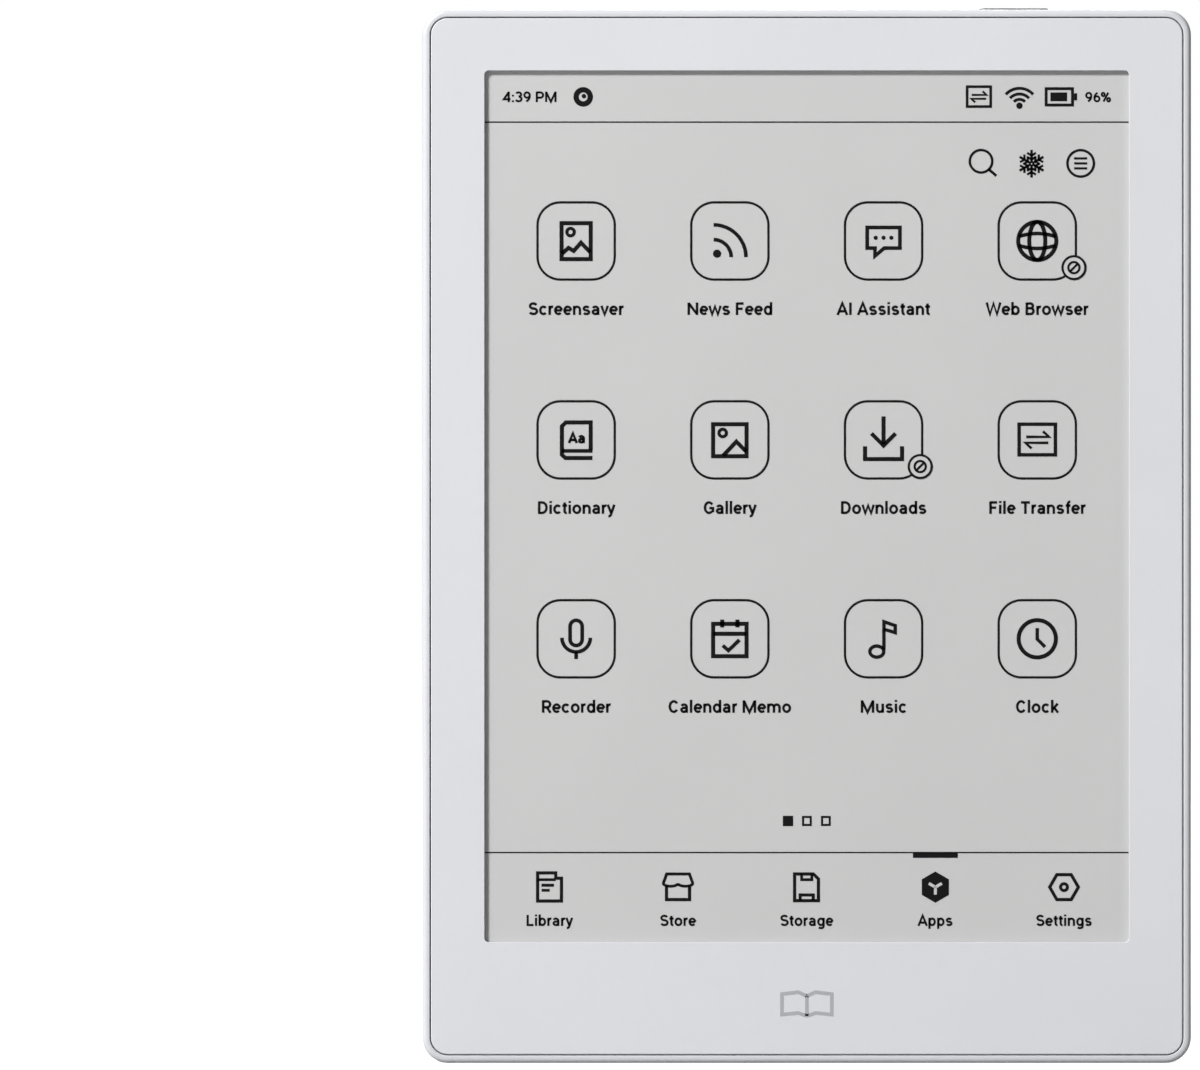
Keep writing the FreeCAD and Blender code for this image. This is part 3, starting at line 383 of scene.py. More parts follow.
# name, base, roughness, tints, gloss, bumps and pieces, as makeFinish takes them, and other settings
innerFinishes = [
    ("touchSensorGlass", (0.86, 0.88, 0.87), 0.1,   # faint sensing columns
     [(("wave", 4.2, "X"), columns, 0.92, 0.97), (("wave", 4.2, "Z"), columns, 0.92, 0.97)],
     (("noise", 12), 0.02), [(("noise", 3), 0.002, 0.2)],
     ["touch_sensor"], {"Transmission_Weight": 0.7, "IOR": 1.5}),
    ("lightGuideAcrylic", (0.92, 0.93, 0.94), 0.14,   # printed extraction dots
     [(("cells", 0.35), (0.97, 0.98, 1.0), 0.0, 0.18)],
     (("noise", 10), 0.03), [(("cells", 0.35), 0.006, 0.4)],
     ["frontlight_guide"], {"Transmission_Weight": 0.6, "IOR": 1.49}),
    ("electronicPaperFilm", (0.6, 0.6, 0.59), 0.6,   # microcapsules
     [(("cells", 0.05), (0.5, 0.5, 0.49), 0.25, 0.75),
      (("noise", 18), (0.57, 0.57, 0.55), 0.35, 0.7)],
     (("noise", 4), 0.04), [(("cells", 0.05), 0.002, 0.5)],
     ["epaper_film"], {}),
    ("backplaneGlass", (0.15, 0.19, 0.17), 0.08,
     [(("wave", 0.085, "X"), wiring, 0.78, 0.92), (("wave", 0.085, "Z"), wiring, 0.78, 0.92)],
     (("noise", 9), 0.02), [(("wave", 0.085, "X"), 0.001, 0.4)],
     ["display_backplane"], {"IOR": 1.52}),
    ("adhesiveTape", (0.045, 0.045, 0.048), 0.62,
     [(("noise", 2.4, 3.0), (0.075, 0.075, 0.078), 0.4, 0.75)],
     (("noise", 1.8), 0.08), [(("noise", 0.35, 3.0), 0.012, 0.6)],
     ["bezel_adhesive", "display_adhesive", "battery_adhesive"], {}),
    ("blackGasketFoam", (0.028, 0.028, 0.03), 0.88,   # open cells
     [(("cells", 0.16), (0.055, 0.055, 0.058), 0.2, 0.7)],
     (("noise", 0.8), 0.05), [(("cells", 0.16), 0.05, 0.9)],
     ["bezel_gasket", "microphone_gasket"], {}),
    ("amberFlexFilm", (0.42, 0.19, 0.045), 0.34,   # copper tracks
     [(("wave", 0.5, "X"), (0.6, 0.3, 0.09), 0.45, 0.6),
      (("noise", 3), (0.33, 0.14, 0.03), 0.45, 0.85)],
     (("noise", 2), 0.06), [(("wave", 0.5, "X"), 0.008, 0.5)],
     ["display_flex", "touch_flex", "frontlight_strip", "power_switch_flex"], {}),
    ("antennaFlex", (0.055, 0.052, 0.048), 0.42,   # meander showing through
     [(("wave", 2.2, "X"), (0.16, 0.1, 0.05), 0.6, 0.68)],
     (("noise", 2), 0.06), [(("wave", 2.2, "X"), 0.01, 0.5)],
     ["wireless_antenna"], {}),
    ("bareSilicon", (0.075, 0.08, 0.095), 0.12,
     [(("wave", 0.22, "X"), (0.13, 0.12, 0.15), 0.55, 0.75)],
     (("noise", 1.5), 0.03), [(("wave", 0.22, "Z"), 0.001, 0.3)],
     ["display_driver_chips"], {"metallic": 0.55}),
    ("whiteLedPackage", (0.8, 0.79, 0.72), 0.38,   # phosphor patch
     [(("noise", 0.5), (0.86, 0.74, 0.36), 0.48, 0.62)],
     (("noise", 0.8), 0.06), [(("noise", 0.2), 0.005, 0.4)],
     ["frontlight_leds"], {}),
    ("smallCeramicParts", (0.24, 0.17, 0.11), 0.42,   # tinned ends
     [(("noise", 1.4, 1.0), (0.62, 0.6, 0.58), 0.5, 0.56),
      (("cells", 2.6), (0.05, 0.05, 0.055), 0.45, 0.55)],
     (("noise", 0.9), 0.08), [(("noise", 0.15), 0.006, 0.5)],
     ["board_passives"], {}),
    ("batteryPouchFoil", (0.46, 0.47, 0.49), 0.34,
     [(("noise", 7, 3.0), (0.38, 0.39, 0.41), 0.38, 0.72)], (("noise", 4), 0.09),
     [(("noise", 3.2, 4.0, (1, 1, 2.5)), 0.06, 0.5), (("noise", 0.3, 2.0), 0.004, 0.4)],
     ["battery_cell"], {"metallic": 0.75}),
    ("graphiteSheet", (0.085, 0.086, 0.09), 0.4,
     [(("noise", 5, 4.0), (0.125, 0.126, 0.13), 0.45, 0.7)],
     (("noise", 2.4, 4.0), 0.08), [(("noise", 0.5, 4.0), 0.008, 0.6)],
     ["graphite_sheet"], {"metallic": 0.35}),
]

# name, base, shade, roughness, brush or grain and its height in millimetres, then stretch and pieces
metals = [
    ("screwSteel", (0.4, 0.4, 0.42), (0.3, 0.3, 0.32), 0.28, 0.05, 0.003, (1, 1, 1),
     ["housing_screws", "board_screws"]),
    ("shieldCanTin", (0.66, 0.65, 0.63), (0.55, 0.54, 0.52), 0.3, 0.12, 0.003, (1, 1, 9),
     ["shield_can_processor", "shield_can_power"]),
    ("moduleCover", (0.7, 0.7, 0.7), (0.6, 0.6, 0.61), 0.24, 0.1, 0.002, (7, 1, 1),
     ["wireless_module", "microphone"]),
    ("portShellSteel", (0.58, 0.58, 0.6), (0.46, 0.46, 0.49), 0.26, 0.1, 0.003, (1, 6, 1),
     ["usb_shell", "card_socket_cover"]),
    ("contactGold", (0.86, 0.62, 0.27), (0.74, 0.5, 0.2), 0.22, 0.04, 0.002, (1, 1, 1),
     ["usb_contacts", "card_contacts"]),
    ("springSteel", (0.52, 0.51, 0.49), (0.4, 0.39, 0.38), 0.24, 0.05, 0.003, (5, 1, 1),
     ["card_slider_spring", "power_switch_dome", "power_switch_bracket"]),
    ("nickelMagnet", (0.64, 0.62, 0.58), (0.52, 0.5, 0.47), 0.18, 0.09, 0.002, (1, 1, 1), ["cover_magnets"]),
]
polymers = [
    ("chipResin", (0.018, 0.018, 0.02), (0.03, 0.03, 0.032), 0.55, 0.05, 0.004,
     ["processor_chip", "memory_chip", "power_chip", "storage_chip", "hall_sensor"]),
    ("connectorPlastic", (0.62, 0.6, 0.54), (0.54, 0.52, 0.46), 0.5, 0.08, 0.005,
     ["display_connector", "touch_connector", "frontlight_connector", "button_connector",
      "battery_connector", "antenna_connector"]),
    ("blackPortPlastic", (0.02, 0.02, 0.022), (0.032, 0.032, 0.034), 0.46, 0.08, 0.004,
     ["usb_tongue", "card_socket_base", "card_slider"]),
    ("switchPlastic", (0.045, 0.045, 0.05), (0.07, 0.07, 0.075), 0.48, 0.07, 0.004,
     ["power_switch_body", "power_switch_actuator"]),
    ("coaxJacket", (0.055, 0.055, 0.06), (0.085, 0.085, 0.09), 0.42, 0.07, 0.004, ["antenna_coax"]),
]


def paintMidFrame():
    # die-cast skin
    alloy = metal("midFrameAlloy", (0.6, 0.6, 0.61), (0.5, 0.5, 0.52), 0.38, 0.22, 0.006,
                  on=["mid_frame"])
    alloy.bump(alloy.noise(1.6 * mm, 2.0), 0.01 * mm, 0.3)


boardPads = {"pitch": 1.9 * mm, "core": 0.13, "edge": 0.16, "colour": (0.04, 0.15, 0.085)}


def paintBoard():
    look = makeFinish("blackGreenBoard", (0.01, 0.06, 0.034), 0.36,
                      [(("wave", 1.3, "X"), tracks, 0.86, 0.94), (("wave", 3.1, "Z"), tracks, 0.95, 0.98)],
                      (("noise", 3), 0.05), [(("wave", 1.3, "X"), 0.01, 0.3)],
                      ["main_board", "battery_protection_board"])
    pads = look.cells(boardPads["pitch"], "CHEBYCHEV")
    look.tint(look.ramp(pads, boardPads["core"], boardPads["edge"], 1.0, 0.0), boardPads["colour"], 0.0, 1.0)


batteryLeads = {"shift": 2.0 * mm, "blackUpTo": 1.15 * mm, "blur": 0.05 * mm}


def paintBatteryLeads():
    look = polymer("leadJacket", (0.42, 0.03, 0.024), (0.34, 0.022, 0.018), 0.45, 0.1, 0.006,
                   ["battery_leads"])
    low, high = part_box("battery_leads")
    slope = batteryLeads["shift"] / (high.z - low.z)   # follows the leads' sideways run
    edge = batteryLeads["blackUpTo"] + slope * low.z
    blur = batteryLeads["blur"]
    black = look.ramp(look.along((1, 0, slope)), edge - blur, edge + blur, 1.0, 0.0)
    look.tint(black, (0.02, 0.02, 0.022), 0.45, 0.55)


for *recipe, settings in innerFinishes:
    makeFinish(*recipe, **settings)
for *recipe, names in metals:
    metal(*recipe, on=names)
for recipe in polymers:
    polymer(*recipe)
paintMidFrame()
paintBoard()
paintBatteryLeads()
print("finishes of the parts inside ready")


# drawing tools for what the display shows: flat outlines in millimetres, made as thin printed plates
inkDepth = {"start": 0.005 * mm, "thickness": 0.02 * mm, "gap": 0.002 * mm}
overPrint = screen["face"] - inkDepth["start"] - inkDepth["thickness"]   # the face of printed plates


strokes = {"icon": 0.58, "thin": 0.522, "slim": 0.493, "fine": 0.46, "tile": 0.33,   # widths in millimetres
           "leastMitre": 0.45}


class Print:
    # gathers flat faces about a place on the screen, then makes them one thin piece
    def __init__(self, x, z, face=None):
        self.x, self.z = x, z
        self.face = screen["face"] - inkDepth["start"] if face is None else face
        self.mesh = bmesh.new()

    def corner(self, point):
        return self.mesh.verts.new(((self.x + point[0]) * mm, self.face, (self.z + point[1]) * mm))

    def fill(self, points):
        self.mesh.faces.new([self.corner(point) for point in points])

    def line(self, points, width=strokes["icon"], closed=False):
        # a ribbon with mitred corners
        spots = [Vector(point) for point in points]
        count = len(spots)
        sides = []
        for i, spot in enumerate(spots):
            before = spots[i - 1] if closed or i > 0 else None
            after = spots[(i + 1) % count] if closed or i < count - 1 else None
            ahead = (after - spot).normalized() if after is not None else (spot - before).normalized()
            behind = (spot - before).normalized() if before is not None else ahead
            across = (ahead + behind).normalized().orthogonal()
            reach = width / 2 / max(strokes["leastMitre"], across.dot(ahead.orthogonal()))
            sides.append((self.corner(spot + across * reach), self.corner(spot - across * reach)))
        for i in range(count if closed else count - 1):
            near, far = sides[i], sides[(i + 1) % count]
            self.mesh.faces.new((near[0], far[0], far[1], near[1]))

    def arc(self, middle, radius, start, end, width, stretch=1.0, turn=7.5):
        # start and end in degrees, turn the degrees of one step; stretch widens it sideways
        full = abs(end - start) >= 360
        steps = max(4, round(abs(end - start) / turn))
        points = []
        for i in range(steps if full else steps + 1):
            angle = math.radians(start + (end - start) * i / steps)
            side, rise = radius * stretch * math.cos(angle), radius * math.sin(angle)
            points.append((middle[0] + side, middle[1] + rise))
        self.line(points, width, closed=full)

    def ring(self, middle, radius, width=strokes["icon"], stretch=1.0):
        self.arc(middle, radius, 0, 360, width, stretch)

    def disc(self, middle, radius, sides=32):
        angles = [2 * math.pi * i / sides for i in range(sides)]
        self.fill([(middle[0] + radius * math.cos(a), middle[1] + radius * math.sin(a)) for a in angles])

    def frame(self, left, right, low, top, width=strokes["icon"]):
        self.line([(left, low), (right, low), (right, top), (left, top)], width, closed=True)

    def bar(self, left, right, low, top):
        self.fill([(left, low), (right, low), (right, top), (left, top)])

    def finish(self, name, material=None):
        # plates face the reader, out of the screen
        grown = bmesh.ops.extrude_face_region(self.mesh, geom=self.mesh.faces[:], use_keep_orig=True)
        moved = [part for part in grown["geom"] if isinstance(part, bmesh.types.BMVert)]
        bmesh.ops.translate(self.mesh, verts=moved, vec=(0, -inkDepth["thickness"], 0))
        bmesh.ops.recalc_face_normals(self.mesh, faces=self.mesh.faces[:])
        plate = bpy.data.meshes.new(name)
        self.mesh.to_mesh(plate)
        self.mesh.free()
        return placePiece(name, plate, material or inkMaterial)


def placePiece(name, mesh, material):
    mesh.materials.clear()
    mesh.materials.append(material)
    piece = addObject(name, mesh)
    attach(piece, "root")
    return piece


def makePlate(name, x, z, draw):
    art = Print(x, z)
    draw(art)
    art.finish(name)


def stem(x, top, low=0):
    return [(x, top), (x, low)]


def beam(left, right, z):
    return [(left, z), (right, z)]


def oval(x, z, halfWide, halfHigh):
    return (x, z, halfWide, halfHigh, 0, 360)


# a plain sans-serif alphabet drawn with one stroke width, in hundredths of the height of a capital letter:
# the width of each sign and its strokes. a stroke is a list of points, or an arc as
# (middle x, middle z, half width, half height, start, end)
letters = {
    "a": (76.5, [(36.5, 47, 21.5, 19, 155, 0), stem(58, 48), beam(58, 36, 39),
              (36, 23.5, 20, 15.5, 90, 330), [(53, 15), (58, 22)]]),
    "b": (79, [stem(16, 104), oval(40, 37, 24, 29)]),
    "c": (73.5, [(39, 37, 25, 29, 42, 318)]),
    "d": (79, [oval(39, 37, 24, 29), stem(63, 104)]),
    "e": (74.5, [(38.5, 37, 25.5, 29, 0, 316), beam(13, 64, 37)]),
    "f": (49, [(40, 79, 15, 18, 72, 180), stem(25, 80), beam(7, 45, 67)]),
    "g": (79, [oval(39, 37, 24, 29), stem(63, 74, -2), (39, -2, 24, 18, 0, -142)]),
    "i": (34, [stem(17, 74), stem(17, 103, 87)]),
    "k": (71, [stem(16, 104), [(20, 26), (60, 74)], [(32, 42), (63, 0)]]),
    "l": (34, [stem(17, 104)]),
    "m": (123, [stem(16, 74), (38.5, 43, 22.5, 23, 180, 0), stem(61, 45), (83.5, 43, 22.5, 23, 180, 0),
              stem(106, 45)]),
    "n": (77.6, [stem(16, 74), (39, 43, 23, 23, 180, 0), stem(62, 45)]),
    "o": (80, [oval(40, 37, 26, 29)]),
    "p": (79, [stem(16, 74, -27), oval(40, 37, 24, 29)]),
    "r": (47.6, [stem(16, 74), (39, 42, 23, 24, 180, 78)]),
    "s": (72.5, [(36, 51.5, 20, 14.5, 25, 270), (36, 22.5, 21.5, 14.5, 90, -155)]),
    "t": (46, [stem(22, 92, 22), (36, 22, 14, 14, 180, 286), beam(4, 42, 67)]),
    "u": (77.5, [stem(16, 74, 29), (38.5, 31, 22.5, 23, 180, 360), stem(61, 74)]),
    "v": (68, [[(8, 74), (34, 4), (60, 74)]]),
    "w": (105.6, [[(8, 74), (30, 5), (53, 68), (76, 5), (98, 74)]]),
    "y": (66.5, [[(7, 74), (34, 5)], [(59, 74), (32, -4)], (13, 2, 20.5, 21, -18, -95)]),
    "A": (91.7, [[(8, 0), (45.85, 95), (83.7, 0)], beam(20, 72, 30)]),
    "B": (87.6, [stem(17, 100), beam(17, 46, 92), (46, 73, 20, 19, 90, -90), beam(17, 48, 54),
              (48, 31, 23, 23, 90, -90), beam(17, 48, 8)]),
    "C": (91.5, [(46, 50, 32, 42, 36, 324)]),
    "D": (92, [stem(17, 100), beam(17, 40, 92), (40, 50, 36, 42, 90, -90), beam(17, 40, 8)]),
    "F": (77.8, [stem(17, 100), beam(17, 70, 92), beam(17, 62, 50)]),
    "G": (95.8, [(47, 50, 32, 42, 38, 318), [(71, 22), (79, 15)], [(79, 14), (79, 46), (50, 46)]]),
    "I": (38, [stem(19, 100)]),
    "L": (75.7, [[(17, 100), (17, 8), (70, 8)]]),
    "M": (122.8, [stem(17, 0, 100), [(17, 96), (61.4, 4), (105.8, 96)], stem(105.8, 100)]),
    "N": (100, [stem(17, 0, 100), [(17, 94), (83, 6)], stem(83, 100)]),
    "P": (88.7, [stem(17, 100), beam(17, 50, 92), (50, 67, 27, 25, 90, -90), beam(17, 50, 42)]),
    "R": (86.6, [stem(17, 100), beam(17, 48, 92), (48, 68, 25, 24, 90, -90), beam(17, 48, 44),
              [(46, 44), (77, 0)]]),
    "S": (83.4, [(41.5, 72, 26.5, 20, 22, 270), (41.5, 30, 28.5, 22, 90, -158)]),
    "T": (84, [beam(6, 78, 92), stem(42, 92)]),
    "W": (124.8, [[(8, 100), (34.5, 5), (62.4, 93), (90.3, 5), (116.8, 100)]]),
    "3": (79, [(37, 73, 24, 19, 155, -90), (37, 30, 27, 22, 90, -158)]),
    "4": (79, [stem(56, 100), [(56, 95), (10, 27), (73, 27)]]),
    "6": (79, [oval(41, 33, 25, 25), (56, 40, 40, 52, 176, 100)]),
    "9": (79, [oval(38, 67, 25, 25), (23, 60, 40, 52, -4, -80)]),
    ":": (34, [stem(17, 17), stem(17, 70, 53)]),
    "%": (103, [oval(24, 76, 14, 17), oval(79, 24, 14, 17), [(75, 95), (27, 5)]]),
    " ": (34.7, []),
}
lettering = {"weight": 0.205, "turn": 12, "units": 100}


def wordWidth(text, cap):
    return sum(letters[sign][0] for sign in text) * cap / lettering["units"]


def writeWords(name, text, x, z, cap, align="CENTER", weight=lettering["weight"]):
    # x and z of the baseline and the height of the capitals, in millimetres
    art = Print(x - (wordWidth(text, cap) / 2 if align == "CENTER" else 0), z)
    pen, unit = 0.0, cap / lettering["units"]
    for sign in text:
        advance, marks = letters[sign]
        for mark in marks:
            if isinstance(mark, list):
                art.line([((pen + point[0]) * unit, point[1] * unit) for point in mark], weight * cap)
            else:
                midX, midZ, halfWide, halfHigh, start, end = mark
                art.arc(((pen + midX) * unit, midZ * unit), halfHigh * unit, start, end, weight * cap,
                        stretch=halfWide / halfHigh, turn=lettering["turn"])
        pen += advance
    return art.finish(name)


# pictograms of the twelve applications; each draws about the middle of its tile


def drawPicture(art, half, low, top, sun, hills):
    # a framed landscape
    art.frame(-half, half, low, top)
    art.ring(sun, 0.52, strokes["fine"])
    art.line(hills)


def drawPortraitPicture(art):
    drawPicture(art, 2.05, -2.55, 2.5, (-0.78, 1.25),
                [(-1.99, -1.79), (-1.07, -0.97), (-0.34, -1.4), (0.68, -0.24), (1.99, -1.6)])


def drawLandscapePicture(art):
    drawPicture(art, 2.35, -2.3, 2.2, (-1.0, 0.97), [(-0.92, -2.2), (0.92, -0.24), (2.3, -1.65)])


def drawFeed(art):
    art.disc((-1.79, -1.79), 0.58)
    for radius in (2.47, 4.55):
        art.arc((-2.28, -2.28), radius, 0, 90, strokes["thin"])


def drawAssistant(art):
    # a speech bubble with three dots
    bubble = [(-2.3, 1.9), (-2.3, -1.0), (-1.2, -1.0), (-1.2, -2.1), (0.1, -1.0), (2.3, -1.0), (2.3, 1.9)]
    art.line(bubble, strokes["thin"], closed=True)
    for x in (-1.1, 0.0, 1.1):
        art.disc((x, 0.45), 0.3, sides=16)


def drawGlobe(art):
    radius, reach, crown, sag = 2.68, 2.5996, 1.05, 0.43
    art.ring((0, 0), radius)
    art.ring((0, 0), radius, stretch=0.42)
    shares = [i / 6 - 1 for i in range(13)]
    for side in (-1, 1):
        art.line([(share * reach, side * (crown - sag * share * share)) for share in shares], strokes["thin"])


def drawDictionary(art):
    art.line([(2.05, -1.45), (2.05, 2.45), (-1.45, 2.45), (-2.0, 1.9), (-2.0, -2.1), (-1.5, -2.55),
              (2.3, -2.55)])
    art.line([(-2.0, -1.55), (2.3, -1.55)], strokes["thin"])


def drawDownload(art):
    # an arrow into an open tray
    art.line([(0, 3.3), (0, -0.6)])
    art.line([(-1.7, 0.9), (0, -0.8), (1.7, 0.9)])
    art.line([(-2.6, -0.9), (-2.6, -2.7), (2.6, -2.7), (2.6, -0.9)])


def drawSwap(art, size=1.0, stroke=0.5):
    # two opposite arrows in a frame
    art.frame(-2.55 * size, 2.55 * size, -2.1 * size, 2.2 * size, stroke)
    for side in (size, -size):
        art.line([(-1.55 * side, 0.42 * side), (1.65 * side, 0.42 * side), (0.8 * side, 1.2 * side)],
                 stroke * 0.8)


def drawMicrophone(art):
    radius, high, low = 0.85, 1.75, -0.1
    capsule = []
    for i in range(26):
        angle = math.radians(15 * (i if i < 13 else i - 1))
        capsule.append((radius * math.cos(angle), (high if i < 13 else low) + radius * math.sin(angle)))
    art.line(capsule, strokes["thin"], closed=True)
    art.arc((0, 0.15), 2.0, 180, 360, strokes["thin"])
    art.line([(0, -1.85), (0, -2.85)], strokes["thin"])


def drawCalendar(art):
    art.frame(-2.35, 2.35, -2.45, 2.1)
    art.line([(-2.35, 0.7), (2.35, 0.7)])
    for x in (-1.07, 1.07):
        art.line([(x, 2.7), (x, 1.6)])
    art.line([(-1.0, -0.95), (-0.2, -1.65), (1.36, -0.15)], strokes["thin"])


def drawNote(art):
    art.line([(0.05, -1.55), (0.05, 2.4), (1.65, 1.85), (1.65, 0.85), (0.05, 1.35)], strokes["slim"])
    art.ring((-0.95, -1.8), 0.78, strokes["slim"], stretch=1.25)


def drawClock(art):
    art.ring((0, 0), 2.62)
    art.line([(0, 1.5), (0, -0.05), (1.1, -1.15)], strokes["slim"])


# name, label and drawing
applications = [
    ("screensaver", "Screensaver", drawPortraitPicture),
    ("news_feed", "News Feed", drawFeed),
    ("assistant", "AI Assistant", drawAssistant),
    ("web_browser", "Web Browser", drawGlobe),
    ("dictionary", "Dictionary", drawDictionary),
    ("gallery", "Gallery", drawLandscapePicture),
    ("downloads", "Downloads", drawDownload),
    ("file_transfer", "File Transfer", drawSwap),
    ("recorder", "Recorder", drawMicrophone),
    ("calendar_memo", "Calendar Memo", drawCalendar),
    ("music", "Music", drawNote),
    ("clock", "Clock", drawClock),
]
badged = ("web_browser", "downloads")

# places on the screen in millimetres from the middle of the screen and the reader's lower edge
tiles = {"columns": 4, "rows": 3, "pitchX": 21.6, "pitchZ": 27.95, "size": 10.85, "corner": 3.2,
         "cornerSteps": 10, "topRow": 115.5, "labelDrop": 10.4, "labelCap": 1.75,
         "badgeAside": 5.15, "badgeDrop": 3.75, "badgeRadius": 1.77, "badgeRing": 0.78, "badgeBar": 0.55}


class Rig:
    # a Geometry Nodes tree with named inputs, run once on an empty mesh
    def __init__(self, name, inputs):
        self.name, self.values = name, inputs
        self.tree = bpy.data.node_groups.new(name, "GeometryNodeTree")
        self.tree.interface.new_socket("Geometry", in_out="OUTPUT", socket_type="NodeSocketGeometry")
        for key, value in inputs.items():
            kind = "NodeSocketInt" if isinstance(value, int) else "NodeSocketFloat"
            self.tree.interface.new_socket(key, in_out="INPUT", socket_type=kind)
        self.given = self.tree.nodes.new("NodeGroupInput")

    def add(self, kind, wires=None, out=0, **settings):
        # a wire given as text is one of the named inputs
        wires = {key: self.given.outputs[source] if isinstance(source, str) else source
                 for key, source in (wires or {}).items()}
        return addNode(self.tree, kind if "Node" in kind else "GeometryNode" + kind, wires, out, **settings)

    def reckon(self, operation, first, second):
        return self.add("ShaderNodeMath", {0: first, 1: second}, operation=operation)

    def vector(self, x=0.0, y=0.0, z=0.0):
        return self.add("ShaderNodeCombineXYZ", {"X": x, "Y": y, "Z": z})

    def grid(self, width, height):
        sizes = {"Vertices X": "Columns", "Vertices Y": "Rows", "Size X": width, "Size Y": height}
        return self.add("MeshGrid", sizes)

    def row(self, count, step):
        return self.add("MeshLine", {"Count": count, "Offset": step}, mode="OFFSET")

    def sweep(self, path, wide, high):
        section = self.add("CurvePrimitiveQuadrilateral", {"Width": wide, "Height": high})
        return self.add("CurveToMesh", {"Curve": path, "Profile Curve": section})

    def spread(self, points, piece, **more):
        return self.add("InstanceOnPoints", {"Points": points, "Instance": piece, **more})

    def upright(self, geometry):
        return self.add("Transform", {"Geometry": geometry, "Rotation": (math.radians(90), 0, 0)})

    def close(self, geometry, place, name, material, slot):
        # every tree ends in Realize Instances and Set Material; its result becomes a plain piece
        real = self.add("RealizeInstances", {"Geometry": geometry})
        coat = self.add("SetMaterial", {"Geometry": real, "Material": material})
        self.tree.links.new(coat, self.tree.nodes.new("NodeGroupOutput").inputs["Geometry"])
        holder = addObject(self.name, bpy.data.meshes.new(self.name))
        modifier = holder.modifiers.new(self.name, "NODES")
        modifier.node_group = self.tree
        for item in self.tree.interface.items_tree:
            if item.in_out == "INPUT":
                modifier[item.identifier] = self.values[item.name]
        graph = bpy.context.evaluated_depsgraph_get()
        mesh = bpy.data.meshes.new_from_object(holder.evaluated_get(graph))
        holder.modifiers.remove(modifier)
        bpy.data.objects.remove(holder)
        mesh.transform(Matrix.Translation(place))
        placePiece(name, mesh, material)


def makeTileFrames():
    # twelve rounded outlines on a regular grid
    rig = Rig("tileFrames", {
        "Columns": tiles["columns"], "Rows": tiles["rows"],
        "Grid Width": (tiles["columns"] - 1) * tiles["pitchX"] * mm,
        "Grid Height": (tiles["rows"] - 1) * tiles["pitchZ"] * mm,
        "Tile Size": tiles["size"] * mm, "Corner Radius": tiles["corner"] * mm,
        "Stroke": strokes["tile"] * mm, "Thickness": inkDepth["thickness"],
    })
    square = {"Width": "Tile Size", "Height": "Tile Size"}
    outline = rig.add("CurvePrimitiveQuadrilateral", square)
    bends = {"Curve": outline, "Radius": "Corner Radius", "Count": tiles["cornerSteps"]}
    rounded = rig.add("FilletCurve", bends, mode="POLY")
    outlines = rig.spread(rig.grid("Grid Width", "Grid Height"), rig.sweep(rounded, "Stroke", "Thickness"))
    middleRow = tiles["topRow"] - (tiles["rows"] - 1) * tiles["pitchZ"] / 2
    depth = screen["face"] - inkDepth["start"] - inkDepth["thickness"] / 2
    rig.close(rig.upright(outlines), (screenMid, depth, middleRow * mm), "app_tile_frames", inkMaterial,
              "screen_film")


def makeBadge(name, x, z):
    # a small round badge over the tile's lower right corner, on a disc that covers the outline
    disc = Print(x, z, overPrint - inkDepth["gap"])
    disc.disc((0, 0), tiles["badgeRadius"])
    disc.finish("badge_disc_" + name, paperMaterial)
    art = Print(x, z, overPrint - inkDepth["thickness"] - 2 * inkDepth["gap"])
    art.ring((0, 0), tiles["badgeRadius"] - strokes["tile"] / 2, strokes["tile"])
    art.ring((0, 0), tiles["badgeRing"], strokes["tile"])
    reach = tiles["badgeBar"]
    art.line([(-reach, -reach), (reach, reach)], strokes["tile"])
    art.finish("badge_" + name)


def drawApplications():
    makeTileFrames()
    for number, (name, label, draw) in enumerate(applications):
        column, row = number % tiles["columns"], number // tiles["columns"]
        x = screenMid / mm + (column - (tiles["columns"] - 1) / 2) * tiles["pitchX"]
        z = tiles["topRow"] - row * tiles["pitchZ"]
        makePlate("icon_" + name, x, z, draw)
        if name in badged:
            makeBadge(name, x + tiles["badgeAside"], z - tiles["badgeDrop"])
        writeWords("label_" + name, label, x, z - tiles["labelDrop"], tiles["labelCap"])
        if name == "dictionary":
            writeWords("icon_dictionary_letters", "Aa", x + 0.1, z - 0.45, 1.45, weight=0.26)


drawApplications()
print("application tiles, pictograms and labels ready")


statusBar = {"middle": 135.75, "divider": 132.2, "dividerWidth": 0.19, "cap": 1.48, "timeLeft": -42.7,
             "chargeLeft": 39.1, "chargeSize": 0.95}


def drawDivider(art):
    half = statusBar["dividerWidth"] / 2
    art.bar(screen["left"] / mm, screen["right"] / mm, -half, half)


def drawStatusBadge(art):
    art.ring((0, 0), 1.0, 0.75)
    art.disc((0.1, 0.1), 0.32, sides=16)


def drawSmallSwap(art):
    drawSwap(art, size=0.65, stroke=0.38)


def drawWireless(art):
    art.disc((0, 0.0), 0.46, sides=16)
    for radius in (1.05, 1.8, 2.6):
        art.arc((0, -0.15), radius, 42, 138, 0.42)


def drawBattery(art):
    art.frame(-1.85, 1.85, -1.15, 1.15, 0.42)
    art.bar(-1.25, 1.1, -0.62, 0.62)
    art.bar(2.08, 2.5, -0.5, 0.5)


def drawSearch(art):
    art.ring((0, 0), 1.58, 0.36)
    art.line([(1.05, -1.1), (2.15, -2.05)], 0.4)


